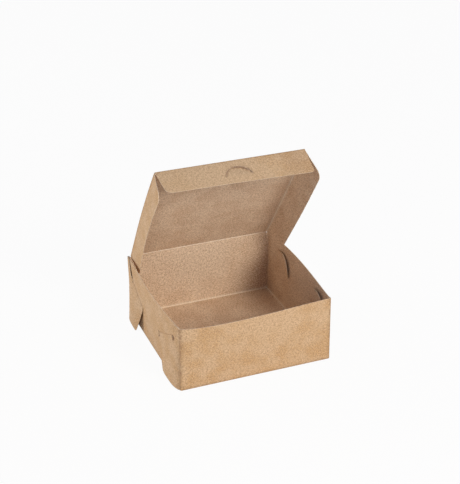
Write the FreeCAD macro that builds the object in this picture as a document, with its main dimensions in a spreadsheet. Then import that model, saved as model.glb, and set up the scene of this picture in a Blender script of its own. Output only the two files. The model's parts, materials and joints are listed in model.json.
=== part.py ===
"""Pastry box with a hinged lid, cut and folded from one sheet of stiff board.

Two pieces of work: the tray (floor, four walls, four corner ears whose hooked ends pass through
a slanted slit in the side wall) and the lid (panel, two side flaps, front tuck flap with a
half-moon thumb cut). They share the score along the top of the rear wall, which is the hinge.
Millimetres, +Z up, the origin under the middle of the floor, the front wall at -Y.
"""
import FreeCAD, Part
import math
import os
import Sketcher

SIZES = [
    ("board", 0.6, "thickness of the board"),
    ("bend_inside", 0.4, "inner radius of every fold"),
    ("layer_gap", 0.2, "air between two layers of board that lie together"),
    ("inside_width", 228.6, "between the side walls"),
    ("inside_depth", 228.6, "between the front and rear walls"),
    ("inside_height", 101.6, "from the floor to the rim"),
    ("side_wall_end_gap", 0.5, "between a side wall's end and the front or rear wall"),
    ("hinge_relief", 0.6, "from the hinge line to the centre of each rounded edge beside it"),
    ("ear_rim_run", 14, "length of an ear's top edge, from the corner"),
    ("ear_tip_run", 56, "from the corner to an ear's lower tip"),
    ("ear_tip_radius", 5, "rounding of that tip"),
    ("slit_near_run", 23, "from the corner to the slit's upper end"),
    ("slit_near_drop", 31.5, "from the rim to the slit's upper end"),
    ("slit_far_run", 72, "from the corner to the slit's lower end"),
    ("slit_far_drop", 51, "from the rim to the slit's lower end"),
    ("slit_end_play", 0.5, "between the hook's neck and each end of the slit"),
    ("hook_rise", 23.4, "height of the half-moon hook above the slit"),
    ("lid_angle", 56.1, "how far the lid stands open, from shut"),
    ("lid_side_gap", 0.4, "between a lid flap and the hooks inside the tray"),
    ("lid_front_gap", 0.3, "between the shut lid's front fold and the front wall"),
    ("flap_depth", 43, "side flap, from the lid's outer face to its free edge"),
    ("flap_end_inset", 1.5, "from each end of the lid to the side flap's root"),
    ("flap_taper", 8, "how far each end of a side flap slopes in"),
    ("flap_corner_radius", 14, "rounding of a side flap's corners"),
    ("tuck_depth", 43, "front flap, from the lid's outer face to its free edge"),
    ("tuck_spare_lean", 2, "degrees that the front flap leans in beyond what it needs to clear the front wall"),
    ("tuck_taper", 5, "how far each side of the front flap slopes in"),
    ("tuck_corner_radius", 12, "rounding of the front flap's corners"),
    ("thumb_width", 44, "width of the half-moon thumb cut"),
    ("thumb_rise", 17, "height of the half-moon"),
    ("thumb_margin", 14, "from the half-moon's ends to the flap's free edge"),
    ("thumb_cut", 0.8, "width of the cut line"),
]

HALF_WIDTH = "(sizes.inside_width / 2)"
HALF_DEPTH = "(sizes.inside_depth / 2)"
BOARD = "sizes.board"
HALF_BOARD = "(sizes.board / 2)"
BEND_IN = "sizes.bend_inside"
BEND_OUT = "(sizes.board + sizes.bend_inside)"
RIM = "(sizes.board + sizes.inside_height)"
EAR_INNER = "(sizes.inside_width / 2 + sizes.board + sizes.layer_gap)"
HOOK_INNER = "(sizes.inside_width / 2 - sizes.layer_gap - sizes.board)"

SLIT_RUN = "(sizes.slit_far_run - sizes.slit_near_run)"
SLIT_DROP = "(sizes.slit_far_drop - sizes.slit_near_drop)"
SLIT_LENGTH = f"sqrt({SLIT_RUN} ^ 2 + {SLIT_DROP} ^ 2)"

HINGE_Y = f"({HALF_DEPTH} + {HALF_BOARD})"
LID_LENGTH = f"({HINGE_Y} + {HALF_DEPTH} - sizes.lid_front_gap)"
FLAP_OUTER = f"({HOOK_INNER} - sizes.lid_side_gap)"
FOLD_CENTRE = f"({HALF_BOARD} + {BEND_IN})"
PANEL_END = f"({LID_LENGTH} - {BEND_OUT})"
TUCK_LEAN = f"(asin(sizes.tuck_depth / (2 * {LID_LENGTH})) + sizes.tuck_spare_lean * 1 deg)"

LEFT, RIGHT = -1, 1
FRONT, REAR = -1, 1


class Corner:
    """One corner of an outline, with an optional rounding, and the edge that leaves it."""

    def __init__(self, across, up, rounding=None, arc=None, turn=0):
        self.across, self.up = across, up
        self.rounding = rounding
        self.arc = arc
        self.turn = turn


def make_sheet(doc):
    """Write the driving sizes into a spreadsheet, one alias each."""
    sheet = doc.addObject("Spreadsheet::Sheet", "sizes")
    for row, (alias, number, meaning) in enumerate(SIZES, start=1):
        sheet.set(f"A{row}", meaning)
        sheet.set(f"B{row}", str(number))
        sheet.setAlias(f"B{row}", alias)
    doc.recompute()
    return sheet


def number_of(expression):
    """The present value of an expression over the sheet, as a plain number."""
    found = FreeCAD.ActiveDocument.getObject("sizes").evalExpression(expression)
    return float(getattr(found, "Value", found))


def bind(sketch, constraint, expression):
    """Add a dimension to the sketch and drive it by the expression."""
    index = sketch.addConstraint(constraint)
    sketch.setExpression(f"Constraints[{index}]", expression)


def pin(sketch, geometry, vertex, corner):
    """Hold a vertex at the corner's two driven distances from the sketch's origin."""
    for kind, expression in (("DistanceX", corner.across), ("DistanceY", corner.up)):
        here = number_of(expression)
        bind(sketch, Sketcher.Constraint(kind, -1, 1, geometry, vertex, here), expression)


def add_arc(sketch, start, end, radius, turn):
    """Add the arc from start to end that turns left (1) or right (-1); give its id and end vertices."""
    chord = end - start
    normal = FreeCAD.Vector(-chord.y, chord.x, 0).normalize()
    reach = math.sqrt(max(radius**2 - (chord.Length / 2) ** 2, 0))
    centre = (start + end) * 0.5 + normal * (reach * turn)
    first, last = (start, end) if turn > 0 else (end, start)
    angles = [math.atan2(p.y - centre.y, p.x - centre.x) for p in (first, last)]
    circle = Part.Circle(centre, FreeCAD.Vector(0, 0, 1), radius)
    geometry = sketch.addGeometry(Part.ArcOfCircle(circle, *angles), False)
    return (geometry, 1, 2) if turn > 0 else (geometry, 2, 1)


def add_rounding(sketch, corner, before, here, after):
    """Round a corner: add its arc, its radius and its sharp point; give the arc and its two ends."""
    towards = [(other - here).normalize() for other in (before, after)]
    half_angle = towards[0].getAngle(towards[1]) / 2
    radius = number_of(corner.rounding)
    start, end = (here + way * (radius / math.tan(half_angle)) for way in towards)
    turn = 1 if towards[0].cross(towards[1]).z < 0 else -1
    piece = add_arc(sketch, start, end, radius, turn)
    bind(sketch, Sketcher.Constraint("Radius", piece[0], radius), corner.rounding)
    sharp = sketch.addGeometry(Part.Point(here), False)
    sketch.setConstruction(sharp, True)
    pin(sketch, sharp, 1, corner)
    return piece, sharp, start, end


def draw(sketch, corners):
    """Draw one closed outline through the corners, with every size driven."""
    points = [FreeCAD.Vector(number_of(c.across), number_of(c.up), 0) for c in corners]
    count = len(corners)
    leaves, arrives = list(points), list(points)
    rounded = {}
    for i, corner in enumerate(corners):
        if corner.rounding:
            piece, sharp, start, end = add_rounding(
                sketch, corner, points[i - 1], points[i], points[(i + 1) % count]
            )
            rounded[i] = (piece, sharp)
            arrives[i], leaves[i] = start, end

    edges = []
    for i, corner in enumerate(corners):
        start, end = leaves[i], arrives[(i + 1) % count]
        if corner.arc:
            radius = number_of(corner.arc)
            edge = add_arc(sketch, start, end, radius, corner.turn)
            bind(sketch, Sketcher.Constraint("Radius", edge[0], radius), corner.arc)
        else:
            edge = (sketch.addGeometry(Part.LineSegment(start, end), False), 1, 2)
        edges.append(edge)

    for i, corner in enumerate(corners):
        incoming, outgoing = edges[i - 1], edges[i]
        if i in rounded:
            piece, sharp = rounded[i]
            joins = ((incoming[0], incoming[2], piece[0], piece[1]),
                     (piece[0], piece[2], outgoing[0], outgoing[1]))
            for join in joins:
                sketch.addConstraint(Sketcher.Constraint("Tangent", *join))
            for edge in (incoming, outgoing):
                sketch.addConstraint(Sketcher.Constraint("PointOnObject", sharp, 1, edge[0]))
        else:
            join = (incoming[0], incoming[2], outgoing[0], outgoing[1])
            sketch.addConstraint(Sketcher.Constraint("Coincident", *join))
            pin(sketch, outgoing[0], outgoing[1], corner)


def sketch_on(body, name, plane, outlines, offset=None):
    """A sketch of closed outlines on one of the body's own planes, moved along its normal by offset."""
    sketch = body.newObject("Sketcher::SketchObject", name + "_outline")
    support = [o for o in body.Origin.OriginFeatures if o.Role == plane][0]
    sketch.AttachmentSupport = [(support, "")]
    sketch.MapMode = "FlatFace"
    if offset:
        sketch.setExpression("AttachmentOffset.Base.z", offset)
    for corners in outlines:
        draw(sketch, corners)
    return sketch


def pad(body, name, plane, outlines, length, offset=None, both_ways=False, backwards=False):
    """Thicken outlines into board."""
    feature = body.newObject("PartDesign::Pad", name)
    feature.Profile = sketch_on(body, name, plane, outlines, offset)
    feature.setExpression("Length", length)
    feature.SideType = "Symmetric" if both_ways else "One side"
    feature.Reversed = backwards
    FreeCAD.ActiveDocument.recompute()
    return feature


def cut(body, name, plane, outlines, length=None):
    """Cut outlines out of the body: both ways over a length, or through all that lies behind the sketch."""
    before = body.Shape.Volume
    feature = body.newObject("PartDesign::Pocket", name)
    feature.Profile = sketch_on(body, name, plane, outlines)
    if length:
        feature.SideType = "Symmetric"
        feature.setExpression("Length", length)
    else:
        feature.Type = "ThroughAll"
    FreeCAD.ActiveDocument.recompute()
    if not body.Shape.Volume < before:
        raise ValueError(f"{name} cuts nothing")
    return feature


def folded_wall(side, inner, top, end_corners):
    """Section of a wall that rises from the floor through a fold: side -1 or 1, inner face and top."""
    foot = f"{side} * ({inner} - {BEND_IN})"
    return [
        Corner(foot, BOARD, arc=BEND_IN, turn=side),
        Corner(f"{side} * {inner}", BEND_OUT),
        Corner(f"{side} * {inner}", top),
        *end_corners,
        Corner(f"{side} * ({inner} + {BOARD})", BEND_OUT, arc=BEND_OUT, turn=-side),
        Corner(foot, "0"),
    ]


def square_end(side, inner, top):
    """The plain cut edge at the top of a wall."""
    return [Corner(f"{side} * ({inner} + {BOARD})", top)]


def slit_point(end, along, above):
    """A point given along and above the line of the slit beside the front or rear wall, as (y, z)."""
    run = f"sizes.slit_near_run + ({along}) * {SLIT_RUN} / {SLIT_LENGTH} + ({above}) * {SLIT_DROP} / {SLIT_LENGTH}"
    drop = f"sizes.slit_near_drop + ({along}) * {SLIT_DROP} / {SLIT_LENGTH} - ({above}) * {SLIT_RUN} / {SLIT_LENGTH}"
    return f"{end} * ({HALF_DEPTH} - ({run}))", f"{RIM} - ({drop})"


def slit_box(end, play, half_height):
    """A slender rectangle along the slit, shorter than it by play at each end."""
    far = f"{SLIT_LENGTH} - {play}"
    return [
        Corner(*slit_point(end, play, f"-{half_height}")),
        Corner(*slit_point(end, far, f"-{half_height}")),
        Corner(*slit_point(end, far, half_height)),
        Corner(*slit_point(end, play, half_height)),
    ]


def hook(end):
    """The half-moon end of an ear, standing on the line of the slit inside the side wall."""
    near, far = "sizes.slit_end_play", f"({SLIT_LENGTH} - sizes.slit_end_play)"
    half_chord = f"({SLIT_LENGTH} / 2 - sizes.slit_end_play)"
    radius = f"(({half_chord} ^ 2 + sizes.hook_rise ^ 2) / (2 * sizes.hook_rise))"
    return [
        Corner(*slit_point(end, near, f"-{HALF_BOARD}")),
        Corner(*slit_point(end, far, f"-{HALF_BOARD}")),
        Corner(*slit_point(end, far, "0"), arc=radius, turn=-end),
        Corner(*slit_point(end, f"{SLIT_LENGTH} / 2", "sizes.hook_rise"), arc=radius, turn=-end),
        Corner(*slit_point(end, near, "0")),
    ]


def ear(end):
    """The part of an ear that lies outside the side wall."""
    def at(run):
        return f"{end} * ({HALF_DEPTH} - {run})"

    return [
        Corner(at(BEND_IN), BEND_OUT),
        Corner(at("sizes.ear_tip_run"), BEND_OUT, rounding="sizes.ear_tip_radius"),
        Corner(*slit_point(end, SLIT_LENGTH, HALF_BOARD)),
        Corner(*slit_point(end, "0", HALF_BOARD)),
        Corner(at("sizes.ear_rim_run"), RIM),
        Corner(at(BEND_IN), RIM),
    ]


def corner_bend(side, end):
    """Plan of the upright fold between the front or rear wall and one ear."""
    straight_x = f"{side} * ({EAR_INNER} - {BEND_IN})"
    straight_y = f"{end} * ({HALF_DEPTH} - {BEND_IN})"
    return [
        Corner(straight_x, f"{end} * {HALF_DEPTH}", arc=BEND_IN, turn=-side * end),
        Corner(f"{side} * {EAR_INNER}", straight_y),
        Corner(f"{side} * ({EAR_INNER} + {BOARD})", straight_y, arc=BEND_OUT, turn=side * end),
        Corner(straight_x, f"{end} * ({HALF_DEPTH} + {BOARD})"),
    ]


def rectangle(half_across, half_up):
    """A rectangle about the origin."""
    return [Corner(f"{i} * {half_across}", f"{j} * {half_up}") for i, j in ((-1, -1), (1, -1), (1, 1), (-1, 1))]


def make_tray(doc):
    """Floor, walls, ears and hooks."""
    body = doc.addObject("PartDesign::Body", "tray")
    body.Label = "tray"
    floor = rectangle(f"({HALF_WIDTH} - {BEND_IN})", f"({HALF_DEPTH} - {BEND_IN})")
    pad(body, "floor", "XY_Plane", [floor], BOARD)

    rounded_top = f"({RIM} - sizes.hinge_relief)"
    hinge_edge = [
        Corner(HINGE_Y, f"{rounded_top} + {HALF_BOARD}", arc=HALF_BOARD, turn=-1),
        Corner(f"{HALF_DEPTH} + {BOARD}", rounded_top),
    ]
    front = folded_wall(FRONT, HALF_DEPTH, RIM, square_end(FRONT, HALF_DEPTH, RIM))
    rear = folded_wall(REAR, HALF_DEPTH, rounded_top, hinge_edge)
    rear[2].arc, rear[2].turn = HALF_BOARD, -1
    end_width = f"2 * ({EAR_INNER} - {BEND_IN})"
    pad(body, "end_walls", "YZ_Plane", [front, rear], end_width, both_ways=True)

    sides = [folded_wall(s, HALF_WIDTH, RIM, square_end(s, HALF_WIDTH, RIM)) for s in (LEFT, RIGHT)]
    side_length = f"2 * ({HALF_DEPTH} - sizes.side_wall_end_gap)"
    pad(body, "side_walls", "XZ_Plane", sides, side_length, both_ways=True)

    half_slit = f"({HALF_BOARD} + sizes.layer_gap)"
    slits = [slit_box(end, "0", half_slit) for end in (FRONT, REAR)]
    cut(body, "slits", "YZ_Plane", slits, f"2 * {EAR_INNER} - sizes.layer_gap")

    bends = [corner_bend(side, end) for side in (LEFT, RIGHT) for end in (FRONT, REAR)]
    pad(body, "corner_bends", "XY_Plane", bends, f"{RIM} - {BEND_OUT}", offset=BEND_OUT)

    for word, side in (("left", LEFT), ("right", RIGHT)):
        layers = (
            ("ears", [ear(end) for end in (FRONT, REAR)], EAR_INNER, BOARD),
            ("necks", [slit_box(end, "sizes.slit_end_play", HALF_BOARD) for end in (FRONT, REAR)],
             HOOK_INNER, f"{EAR_INNER} + {BOARD} - {HOOK_INNER}"),
            ("hooks", [hook(end) for end in (FRONT, REAR)], HOOK_INNER, BOARD),
        )
        for name, outlines, inner, thickness in layers:
            pad(body, f"{word}_{name}", "YZ_Plane", outlines, thickness,
                offset=f"{side} * {inner}", backwards=side == LEFT)
    return body


def lid_strip():
    """Section along the lid: rounded hinge edge, panel, front fold and front flap, which leans in."""
    lean = TUCK_LEAN
    straight = "sizes.tuck_depth"
    fold_x = f"{BEND_OUT} * cos({lean})"
    fold_z = f"{BEND_OUT} * sin({lean})"
    inner_x = f"{BEND_IN} * cos({lean})"
    inner_z = f"{BEND_IN} * sin({lean})"
    return [
        Corner("sizes.hinge_relief", HALF_BOARD, arc=HALF_BOARD, turn=1),
        Corner(f"sizes.hinge_relief - {HALF_BOARD}", "0", arc=HALF_BOARD, turn=1),
        Corner("sizes.hinge_relief", f"-{HALF_BOARD}"),
        Corner(PANEL_END, f"-{HALF_BOARD}", arc=BEND_OUT, turn=1),
        Corner(f"{PANEL_END} + {fold_x}", f"{FOLD_CENTRE} + {fold_z}"),
        Corner(f"{PANEL_END} + {fold_x} - {straight} * sin({lean})",
               f"{FOLD_CENTRE} + {fold_z} + {straight} * cos({lean})"),
        Corner(f"{PANEL_END} + {inner_x} - {straight} * sin({lean})",
               f"{FOLD_CENTRE} + {inner_z} + {straight} * cos({lean})"),
        Corner(f"{PANEL_END} + {inner_x}", f"{FOLD_CENTRE} + {inner_z}", arc=BEND_IN, turn=-1),
        Corner(PANEL_END, HALF_BOARD),
    ]


def lid_side_bend(side):
    """Section across the fold between the lid's panel and a side flap."""
    straight = f"{side} * ({FLAP_OUTER} - {BEND_OUT})"
    return [
        Corner(straight, f"-{HALF_BOARD}", arc=BEND_OUT, turn=side),
        Corner(f"{side} * {FLAP_OUTER}", FOLD_CENTRE),
        Corner(f"{side} * ({FLAP_OUTER} - {BOARD})", FOLD_CENTRE, arc=BEND_IN, turn=-side),
        Corner(straight, HALF_BOARD),
    ]


def lid_side_flap():
    """Face of a side flap, with sloping ends and rounded corners."""
    free_edge = f"sizes.flap_depth - {HALF_BOARD}"
    first, last = "sizes.flap_end_inset", f"{LID_LENGTH} - sizes.flap_end_inset"
    return [
        Corner(first, FOLD_CENTRE),
        Corner(f"{first} + sizes.flap_taper", free_edge, rounding="sizes.flap_corner_radius"),
        Corner(f"{last} - sizes.flap_taper", free_edge, rounding="sizes.flap_corner_radius"),
        Corner(last, FOLD_CENTRE),
    ]


def tuck_offcut():
    """What is cut away round the front flap: its sloping sides, rounded corners and free edge."""
    root = f"({FLAP_OUTER} - {BEND_OUT})"
    clear_of_side_flaps = f"({FLAP_OUTER} - {BOARD} - sizes.layer_gap)"
    free_edge = f"sizes.tuck_depth - {HALF_BOARD}"
    beyond = "2 * sizes.tuck_depth"
    tip = f"({root} - sizes.tuck_taper)"
    return [
        Corner(f"-{root}", FOLD_CENTRE),
        Corner(f"-{tip}", free_edge, rounding="sizes.tuck_corner_radius"),
        Corner(tip, free_edge, rounding="sizes.tuck_corner_radius"),
        Corner(root, FOLD_CENTRE),
        Corner(clear_of_side_flaps, FOLD_CENTRE),
        Corner(clear_of_side_flaps, beyond),
        Corner(f"-{clear_of_side_flaps}", beyond),
        Corner(f"-{clear_of_side_flaps}", FOLD_CENTRE),
    ]


def thumb_arcs(half, rise, turn):
    """Two equal arcs over the half-moon, from one end of its chord to the other."""
    chord = f"sizes.tuck_depth - {HALF_BOARD} - sizes.thumb_margin"
    radius = f"(({half}) ^ 2 + ({rise}) ^ 2) / (2 * ({rise}))"
    return [
        Corner(f"{-turn} * ({half})", chord, arc=radius, turn=turn),
        Corner("0", f"{chord} - ({rise})", arc=radius, turn=turn),
        Corner(f"{turn} * ({half})", chord),
    ]


def thumb_slot():
    """The half-moon cut line in the front flap, bulging towards the lid's panel."""
    outer = thumb_arcs("sizes.thumb_width / 2", "sizes.thumb_rise", 1)
    inner = thumb_arcs("sizes.thumb_width / 2 - sizes.thumb_cut", "sizes.thumb_rise - sizes.thumb_cut", -1)
    return outer + inner


def make_lid(doc):
    """Panel, side flaps and front flap, drawn flat along +Y from the hinge line with +Z its inner side."""
    body = doc.addObject("PartDesign::Body", "lid")
    body.Label = "lid"
    strip_width = f"2 * ({FLAP_OUTER} - {BEND_OUT})"
    pad(body, "panel_and_tuck", "YZ_Plane", [lid_strip()], strip_width, both_ways=True)
    cut(body, "tuck_shape", "XZ_Plane", [tuck_offcut()])
    cut(body, "thumb_cut", "XZ_Plane", [thumb_slot()])

    flap_root = f"{LID_LENGTH} - 2 * sizes.flap_end_inset"
    bends = [lid_side_bend(side) for side in (LEFT, RIGHT)]
    pad(body, "side_bends", "XZ_Plane", bends, flap_root, offset="-sizes.flap_end_inset", backwards=True)
    for word, side in (("left", LEFT), ("right", RIGHT)):
        inner = f"{side} * ({FLAP_OUTER} - {BOARD})"
        pad(body, f"{word}_flap", "YZ_Plane", [lid_side_flap()], BOARD, offset=inner, backwards=side == LEFT)

    body.Placement = FreeCAD.Placement(FreeCAD.Vector(), FreeCAD.Rotation(FreeCAD.Vector(1, 0, 0), 180))
    body.setExpression("Placement.Base.y", HINGE_Y)
    body.setExpression("Placement.Base.z", RIM)
    body.setExpression("Placement.Rotation.Angle", "180 - sizes.lid_angle")
    return body


def check(doc, bodies):
    """Stop at a failed object, or at a body that isn't one valid solid."""
    for item in doc.Objects:
        if "Invalid" in item.State or "Error" in item.State:
            raise ValueError(f"{item.Label} failed: {item.State}")
    for body in bodies:
        shape = body.Shape
        if shape.isNull() or not shape.isValid() or len(shape.Solids) != 1:
            raise ValueError(f"{body.Label} is not one valid solid")


def main():
    doc = FreeCAD.newDocument("pastry_box")
    make_sheet(doc)
    bodies = [make_tray(doc), make_lid(doc)]
    doc.recompute()
    check(doc, bodies)
    os.makedirs("parts", exist_ok=True)
    for body in bodies:
        body.Shape.exportStep(f"parts/{body.Label}.step")
        box = body.Shape.BoundBox
        print(body.Label, f"{body.Shape.Volume:.1f} mm3", [round(v, 2) for v in (
            box.XMin, box.XMax, box.YMin, box.YMax, box.ZMin, box.ZMax)])


main()
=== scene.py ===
"""A kraft-board pastry box, cut and folded from one sheet, with its lid part open.

The frame gives the tray, the lid and the hinge line. This script lays the sheet out flat as it was cut,
triangulates it, folds it up round the scores, lets the panels relax as stiff board does, and dresses it.
"""

import json
import logging
import math
from dataclasses import dataclass, field
from enum import Enum
from typing import Callable, Sequence

import bpy
import numpy as np
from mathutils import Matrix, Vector
from mathutils.geometry import delaunay_2d_cdt


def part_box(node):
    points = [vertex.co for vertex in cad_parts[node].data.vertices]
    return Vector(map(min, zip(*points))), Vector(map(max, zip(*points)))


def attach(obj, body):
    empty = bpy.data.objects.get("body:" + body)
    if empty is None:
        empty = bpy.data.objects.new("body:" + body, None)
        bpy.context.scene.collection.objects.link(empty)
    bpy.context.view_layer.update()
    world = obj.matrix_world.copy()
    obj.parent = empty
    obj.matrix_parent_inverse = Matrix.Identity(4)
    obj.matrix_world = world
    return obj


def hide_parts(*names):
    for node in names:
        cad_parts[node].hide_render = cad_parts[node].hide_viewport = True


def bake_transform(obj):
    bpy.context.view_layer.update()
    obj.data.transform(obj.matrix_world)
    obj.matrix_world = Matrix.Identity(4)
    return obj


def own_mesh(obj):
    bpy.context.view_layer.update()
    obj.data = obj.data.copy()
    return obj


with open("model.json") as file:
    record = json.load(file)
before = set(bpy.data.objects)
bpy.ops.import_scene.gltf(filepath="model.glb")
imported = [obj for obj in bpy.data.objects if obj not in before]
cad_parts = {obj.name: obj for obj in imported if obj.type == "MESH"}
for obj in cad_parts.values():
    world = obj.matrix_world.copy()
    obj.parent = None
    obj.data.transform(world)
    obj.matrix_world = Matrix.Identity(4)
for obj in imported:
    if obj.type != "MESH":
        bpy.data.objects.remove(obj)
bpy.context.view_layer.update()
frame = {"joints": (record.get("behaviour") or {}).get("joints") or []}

MM = 0.001
# The flat sheet's own coordinates, and the numbers that the materials read at each vertex.
UV_NAME = "blank"
WEAR_NAME = "score_wear"
# This one holds the ear folds' wear, partly painted shade, and painted shadow down torn nicks and along the
# thumb cut.
CORNER_NAME = "fold_wear_and_painted_shade"
# This one holds painted light and shade: wide paler and darker soft patches on the walls and the tuck flap.
PAINTED_LIGHT_NAME = "painted_light_and_shade"
# Distances in millimetres within which a mark's wear is full and beyond which there is none; the painted
# shadow down a torn nick also counts for more than a sharp corner does.
WORN = (0.6, 1.9)
NICK_SHADE_REACH = (1.5, 3.2)
NICK_SHADE_STRENGTH = 3.8
# Rows of the filling grid, and how far it stays from every line, as shares of the spacing.
ROW_SHARE = 0.87
CLEAR_SHARE = 0.55
# Points of the mesh nearer to each other than this are one, and a point this near a fold's start is on it.
SAME_POINT = 1e-5
SAME_PLACE = 1e-6
# Mesh lines across a fold, in quarters of its bend: one short of it, five over it and one past it.
FOLD_QUARTERS = (-1.5, 0, 1, 2, 3, 4, 5.5)
# How far the first line of a fold at the floor stops short of the fold round the corner.
FLOOR_FOLD_SHORT = 1.5
# How far short of a slit's ends the mesh lines along it stop.
NECK_INSET = 0.4
# Edges sharper than this stay sharp when a piece is shaded smooth, in degrees.
BOARD_SHARP = 38.0
BEAD_SHARP = 60.0
# How far a score's bead lies off the board's middle, as a share of its thickness, and short of the folds.
BEAD_SINK = 0.9
BEAD_INSET = 0.2

Pair = tuple[float, float]
Point = tuple[float, float]
Triple = tuple[float, float, float]
Value = bpy.types.NodeSocket | float | tuple

log = logging.getLogger("pastry_box")


class Side(Enum):
    """The two sides of the box, by the sign of X."""

    LEFT = -1
    RIGHT = 1


class End(Enum):
    """The two ends of the box, by the sign of Y."""

    FRONT = -1
    REAR = 1


# ---------------------------------------------------------------- sizes


@dataclass(frozen=True)
class BoxSizes:
    """Sizes of the folded sheet in millimetres, worked out from the frame."""

    half_width: float
    half_depth: float
    rim: float
    hinge_y: float
    hinge_z: float
    lid_angle: float
    lid_half_width: float
    board: float = 0.6
    layer_gap: float = 0.2
    bend_inside: float = 0.4
    front_gap: float = 0.3

    @classmethod
    def from_frame(cls) -> "BoxSizes":
        """Read the tray's and the lid's boxes and the hinge from the frame.

        Returns:
            The sizes, with walls given at the middle of the board's thickness.
        """
        tray_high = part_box("tray")[1] / MM
        lid_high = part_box("lid")[1] / MM
        hinge = next(joint for joint in frame["joints"] if joint["name"] == "lid_hinge")
        ears = cls.board + cls.layer_gap
        return cls(
            half_width=tray_high.x - ears - cls.board / 2,
            half_depth=tray_high.y - cls.board / 2,
            rim=tray_high.z,
            hinge_y=hinge["pos_m"][1] / MM,
            hinge_z=hinge["pos_m"][2] / MM,
            lid_angle=-hinge["range_deg"][0],
            lid_half_width=lid_high.x - cls.board / 2,
        )

    @property
    def bend(self) -> float:
        """Radius of a fold at the middle of the board."""
        return self.bend_inside + self.board / 2

    @property
    def bend_length(self) -> float:
        """Length of board that a right-angled fold takes up."""
        return self.bend * math.pi / 2

    @property
    def lid_length(self) -> float:
        """From the hinge line to the middle of the front tuck flap's board."""
        return self.hinge_y + self.half_depth - self.board - self.front_gap


# ---------------------------------------------------------------- curves and outlines


def smooth_step(value: np.ndarray, low: float, high: float) -> np.ndarray:
    """Rise smoothly from 0 at low to 1 at high."""
    share = np.clip((value - low) / (high - low), 0, 1)
    return share * share * (3 - 2 * share)


def through_three(values: Triple, share: np.ndarray) -> np.ndarray:
    """A smooth curve through values given at shares 0, a half and 1.

    Args:
        values: The three values.
        share: Shares of the way from the first to the last.

    Returns:
        The curve's value at each share.
    """
    first, middle, last = values
    hump = middle * 4 * share * (1 - share)
    return first * 2 * (share - 0.5) * (share - 1) + hump + last * 2 * share * (share - 0.5)


def lopsided(share: np.ndarray, rise: float, fall: float) -> np.ndarray:
    """A hump from 0 over 1 to 0 whose peak leans to one end.

    Args:
        share: Shares of the way from one end to the other, from 0 to 1.
        rise: Power of the climb; the smaller it is, the steeper the first end.
        fall: Power of the descent.

    Returns:
        The hump's height at each share.
    """
    peak = rise / (rise + fall)
    return share**rise * (1 - share)**fall / (peak**rise * (1 - peak)**fall)


def spread(points: Sequence[Point], step: float, closed: bool = True) -> list[Point]:
    """Divide straight runs so that no run is longer than step.

    Args:
        points: Corners in order.
        step: Longest run, in millimetres.
        closed: Whether the last corner joins the first.

    Returns:
        The corners with points added between them.
    """
    result: list[Point] = []
    ends = list(points[1:]) + ([points[0]] if closed else [])
    for start, end in zip(points, ends):
        count = max(1, math.ceil(math.dist(start, end) / step))
        for i in range(count):
            share = i / count
            result.append((start[0] + (end[0] - start[0]) * share, start[1] + (end[1] - start[1]) * share))
    if not closed:
        result.append(tuple(points[-1]))
    return result


def rounded(before: Point, corner: Point, after: Point, radius: float, pieces: int = 10) -> list[Point]:
    """Round one corner with an arc tangent to both its edges.

    Args:
        before: Corner before this one.
        corner: The corner to round.
        after: Corner after this one.
        radius: Radius of the arc.
        pieces: Straight pieces in the arc.

    Returns:
        Points along the arc.
    """
    here = np.array(corner)
    ways = [(np.array(other) - here) / np.linalg.norm(np.array(other) - here) for other in (before, after)]
    half = math.acos(float(np.clip(ways[0] @ ways[1], -1, 1))) / 2
    middle = ways[0] + ways[1]
    centre = here + middle / np.linalg.norm(middle) * (radius / math.sin(half))
    start, end = (here + way * (radius / math.tan(half)) - centre for way in ways)
    sweep = math.atan2(start[0] * end[1] - start[1] * end[0], start @ end)
    first = math.atan2(start[1], start[0])
    angles = [first + sweep * i / pieces for i in range(pieces + 1)]
    return [(centre[0] + radius * math.cos(a), centre[1] + radius * math.sin(a)) for a in angles]


def crescent(half: float, rise: float, pieces: int = 28) -> list[Point]:
    """An arc over a chord that is centred on the origin.

    Args:
        half: Half of the chord.
        rise: Height of the arc above the chord.
        pieces: Straight pieces in the arc.

    Returns:
        Points from the chord's -X end over the arc to its +X end.
    """
    radius = (half**2 + rise**2) / (2 * rise)
    centre = rise - radius
    reach = math.atan2(half, -centre)
    angles = [-reach + 2 * reach * i / pieces for i in range(pieces + 1)]
    return [(radius * math.sin(a), centre + radius * math.cos(a)) for a in angles]


def inside(points: np.ndarray, polygon: Sequence[Point]) -> np.ndarray:
    """Which points lie inside a polygon, by counting the edges to the right of each.

    Args:
        points: Array of points, one a row.
        polygon: Corners of the polygon.

    Returns:
        One truth value a point.
    """
    corners = np.array(polygon)
    following = np.roll(corners, -1, axis=0)
    x, y = points[:, :1], points[:, 1:]
    crosses = (corners[:, 1] > y) != (following[:, 1] > y)
    height = np.where(following[:, 1] == corners[:, 1], 1.0, following[:, 1] - corners[:, 1])
    meets = corners[:, 0] + (y - corners[:, 1]) / height * (following[:, 0] - corners[:, 0])
    return (crosses & (x < meets)).sum(axis=1) % 2 == 1


@dataclass(frozen=True)
class PaintedLightPatch:
    """A wide soft patch of painted light, paler where amount is above 0, or of painted shade, deeper where it
    is below 0.
    """

    centre: Point
    reach: Pair
    amount: float

    def at(self, points: np.ndarray) -> np.ndarray:
        """The patch's strength at points of the flat sheet."""
        gaps = (points - np.array(self.centre)) / np.array(self.reach)
        return self.amount * np.exp(-(gaps**2).sum(axis=1))


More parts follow.
